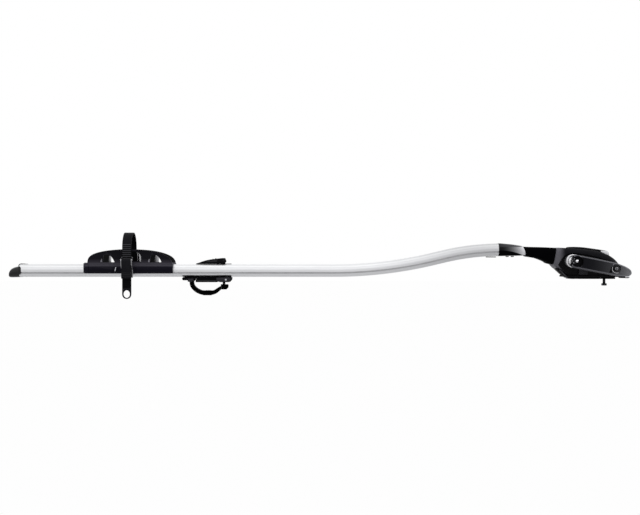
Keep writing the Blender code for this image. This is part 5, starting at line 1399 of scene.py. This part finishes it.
# steel side plates clipped over the ends of the saddle, a pad line between them and a rivet
FRONT_PLATE = [(-838.5, 2.6), (-838.5, -4.6), (-832.0, -7.0), (-811.5, -7.2), (-807.4, -3.0),
               (-806.8, 1.4), (-809.0, 3.2)]
REAR_PLATE = [(-902.6, 0.4), (-902.6, -5.8), (-897.5, -7.4), (-893.0, -6.4), (-890.0, -2.0),
              (-888.6, 0.4)]
PAD_LINE = [(-884.0, -5.4), (-839.4, -5.4), (-839.4, -2.4), (-884.0, -2.4)]
for s, tag in SIDES:
    put(prism("side_plate_%s_a" % tag, FRONT_PLATE, s * 19.7, s * 21.0, "bracket", soft=0.4),
        "rear_foot", "steel")
    put(prism("side_plate_%s_b" % tag, REAR_PLATE, s * 20.0, s * 21.0, "bracket", soft=0.4),
        "rear_foot", "steel")
    put(prism("pad_line_" + tag, PAD_LINE, s * 19.2, s * 20.0, "black_lite", soft=0.3),
        "rear_foot", "rubber")
    put(rod_y("plate_rivet_" + tag, -817.5, -2.0, s * 20.6, s * 21.8, 2.2, "steel", 28, 0.4),
        "rear_foot", "steel")

# band hanging from its pin: outer face forward, inner face back
BAND_X, BAND_Z = -895.5, -2.0
band = smooth_line([(-899.6, BAND_Z - 0.5), (-899.4, -8.0), (-898.2, -15.0), (-894.6, -21.6),
                    (-887.0, -29.0), (-877.0, -34.2), (-870.0, -36.0)], 3)
band += [(-869.4, -36.4), (-868.0, -36.9), (-851.5, -36.9), (-849.6, -36.2)]
band += smooth_line([(-848.8, -35.9), (-842.5, -34.0), (-836.8, -29.8), (-831.0, -24.6)], 3)
band += smooth_line([(-831.0, -16.6), (-837.0, -20.2), (-843.5, -24.6), (-849.0, -26.4)], 3)
band += [(-850.4, -26.6), (-868.4, -26.6)]
band += smooth_line([(-869.4, -26.6), (-876.0, -25.2), (-884.2, -20.8), (-890.2, -14.4),
                     (-891.8, -8.0), (-891.4, BAND_Z - 0.5)], 3)
band += arc(BAND_X, BAND_Z, 4.1, 0, 180, 14)
strip = prism("band_strip", band, -13.8, 13.8, "rubber_band", soft=1.1)
carve(strip, [rod_y("pin_bore", BAND_X, BAND_Z, -30, 30, 2.0)], sharp=40)
put(strip, "rear_band", "rubber", "clamp_band")
# tread bars on the inside of the band
for i in range(3):
    x, z = -863.5 + 4.0 * i, -26.5
    tread = [(x - 1.0, z - 0.5), (x - 0.7, z + 0.5), (x + 0.7, z + 0.5), (x + 1.0, z - 0.5)]
    put(prism("band_tread_%d" % i, tread, -12.6, 12.6, "rubber_band", soft=0.2),
        "rear_band", "rubber")
block = prism("hook_block", [
    (-829.6, -12.6), (-829.9, -17.6), (-827.4, -21.6), (-816.4, -22.2), (-814.4, -20.0),
    (-814.0, -14.4), (-815.2, -12.6)], -11.0, 11.0, "rubber_band", soft=0.6)
carve(block, [box("bolt_slot", (-828.0, -4.6, -30), (-800.0, 4.6, -5))])
put(block, "rear_band", "steel", "band_block")
refine_all(("rear_bolt", "black", 0.3), ("rear_cam_pin", "steel_dark", 0.25),
           ("rear_wear_plate", "black", 0.15))

# rear cam lever: cam flank round the pin, top edge, underside
REAR_X, REAR_Z = -823.5, 41.25
SEAT_Z = TUBE_TOP + 1.5
rear = [(REAR_X + dx, REAR_Z + dz) for dx, dz in cam_outline(REAR_Z - SEAT_Z, 105)]
rear += smooth_line([
    (REAR_X + 2.9, REAR_Z + 2.0), (REAR_X + 2.4, REAR_Z + 4.0), (REAR_X + 0.8, 46.5),
    (-831.0, 46.0), (-844.0, 44.4), (-858.0, 42.4), (-868.0, 39.8), (-877.0, 36.6),
    (-884.0, 34.5), (-885.2, 33.6)], 3)
rear += [(-884.0, TUBE_TOP + 0.5), (-848.0, TUBE_TOP + 0.5), (-842.0, SEAT_Z + 0.35)]
rear_lever = prism("rear_cam_lever", rear, -13.0, 13.0, ["black", "lever_dark"], soft=1.0)
carve(rear_lever, [
    rod_y("pin_bore", REAR_X, REAR_Z, -30, 30, 2.25),
    box("bolt_slot", (REAR_X - 4.8, -4.0, 20), (REAR_X + 20, 4.0, REAR_Z + 4.7))], sharp=30)
bevel(rear_lever, 0.3, angle=42)
put(rear_lever, "rear_handle", "black", "rear_lever")
SKIRT = [(-883.2, 32.85), (-822.6, 32.85), (-822.2, 36.6), (-830.0, 38.0), (-866.0, 37.6),
         (-880.0, 34.6)]
for s, tag in SIDES:
    put(prism("rear_lever_skirt_" + tag, SKIRT, s * 12.5, s * 13.35, "foot"),
        "rear_handle", "black")
for i in range(6):
    x = -872.0 + 6.0 * i
    z = 38.15 + 0.262 * (x + 872.0) - 0.35 * max(0, i - 3)
    bar = [(x - 1.1, z - 0.9), (x - 0.7, z + 0.35), (x + 0.7, z + 0.55), (x + 1.1, z - 0.6)]
    put(prism("rear_grip_bar_%d" % i, bar, -9.5, 9.5, "black_lite", soft=0.2),
        "rear_handle", "black")
SIDE_RIB = [(-838.0, 36.2), (-838.0, 43.0), (-862.0, 38.8), (-872.0, 35.4)]
for s, name in ((-1, "rear_side_rib"), (1, "rear_side_rib_far")):
    put(prism(name, SIDE_RIB, s * 13.3, s * 12.8, "black_lite"), "rear_handle", "black")

# ============================================================================
# stage, light, camera (metres)
# ============================================================================
scene = bpy.context.scene
scene.view_settings.view_transform = "Standard"
scene.view_settings.look = "None"
scene.view_settings.exposure = 0.0


def split_by_camera(tree, output_kind, other, seen):
    """Output the seen shader to camera rays and the other shader to all other rays."""
    output = tree.nodes.new(output_kind)
    path = tree.nodes.new("ShaderNodeLightPath")
    mix = tree.nodes.new("ShaderNodeMixShader")
    tree.links.new(path.outputs["Is Camera Ray"], mix.inputs[0])
    tree.links.new(other.outputs[0], mix.inputs[1])
    tree.links.new(seen.outputs[0], mix.inputs[2])
    tree.links.new(mix.outputs[0], output.inputs["Surface"])


def studio_world():
    """White to the camera; a soft vertical gradient to everything else."""
    world = bpy.data.worlds.new("studio")
    scene.world = world
    world.use_nodes = True
    tree = world.node_tree
    tree.nodes.clear()
    white = tree.nodes.new("ShaderNodeBackground")
    white.inputs["Color"].default_value = (1, 1, 1, 1)
    white.inputs["Strength"].default_value = 1.0
    sky = tree.nodes.new("ShaderNodeBackground")
    sky.inputs["Strength"].default_value = 1.0
    coords = tree.nodes.new("ShaderNodeTexCoord")
    split = tree.nodes.new("ShaderNodeSeparateXYZ")
    height = tree.nodes.new("ShaderNodeMapRange")
    height.inputs["From Min"].default_value = -1.0
    height.inputs["From Max"].default_value = 1.0
    gradient = tree.nodes.new("ShaderNodeValToRGB")
    tree.links.new(coords.outputs["Generated"], split.inputs[0])
    tree.links.new(split.outputs[2], height.inputs["Value"])
    tree.links.new(height.outputs["Result"], gradient.inputs["Fac"])
    tree.links.new(gradient.outputs["Color"], sky.inputs["Color"])
    stops = gradient.color_ramp.elements
    stops[0].position = 0.0
    stops[0].color = (0.32, 0.32, 0.33, 1)
    stops[1].position = 1.0
    stops[1].color = (1.0, 1.0, 1.0, 1)
    for position, level in ((0.36, 0.50), (0.50, 0.80), (0.62, 0.86), (0.80, 0.95)):
        stops.new(position).color = (level, level, level * 1.01, 1)
    split_by_camera(tree, "ShaderNodeOutputWorld", other=sky, seen=white)


def floor_paper():
    """Pale floor, seen as plain paper white."""
    material = bpy.data.materials.new("floor_paper")
    material.use_nodes = True
    tree = material.node_tree
    tree.nodes.clear()
    diffuse = tree.nodes.new("ShaderNodeBsdfDiffuse")
    diffuse.inputs["Color"].default_value = (0.60, 0.60, 0.605, 1)
    glow = tree.nodes.new("ShaderNodeEmission")
    glow.inputs["Color"].default_value = (1, 1, 1, 1)
    glow.inputs["Strength"].default_value = 0.99
    split_by_camera(tree, "ShaderNodeOutputMaterial", other=diffuse, seen=glow)
    return material


studio_world()
paper = floor_paper()
bpy.ops.mesh.primitive_plane_add(size=30, location=(-0.6, 0, -0.35))
floor = bpy.context.object
floor.name = "studio_floor"
floor.data.materials.append(paper)


def area(name, location, target, size, power):
    data = bpy.data.lights.new(name, "AREA")
    data.shape = "RECTANGLE"
    data.size, data.size_y = size
    data.energy = power
    light = bpy.data.objects.new(name, data)
    scene.collection.objects.link(light)
    light.location = location
    aim = Vector(target) - Vector(location)
    light.rotation_euler = aim.to_track_quat("-Z", "Y").to_euler()


area("key_top", (-0.6, -0.7, 2.2), target=(-0.6, 0.0, 0.0), size=(3.2, 1.2), power=4)
area("fill_front", (-0.9, -2.6, 0.9), target=(-0.6, 0, 0.0), size=(2.4, 1.2), power=3)
area("fill_back", (-0.3, 2.4, 1.4), target=(-0.6, 0, 0.0), size=(2.6, 1.2), power=3)
area("side_right", (1.3, -0.9, 0.75), target=(0.02, -0.05, 0.03), size=(0.7, 0.7), power=9)

lens = bpy.data.cameras.new("camera")
lens.lens = 57.5
lens.sensor_width = 36.0
lens.clip_end = 60
camera = bpy.data.objects.new("camera", lens)
scene.collection.objects.link(camera)
camera.location = (-0.6075, -2.3, 0.0477)
camera.rotation_euler = (radians(90), 0, 0)
scene.camera = camera
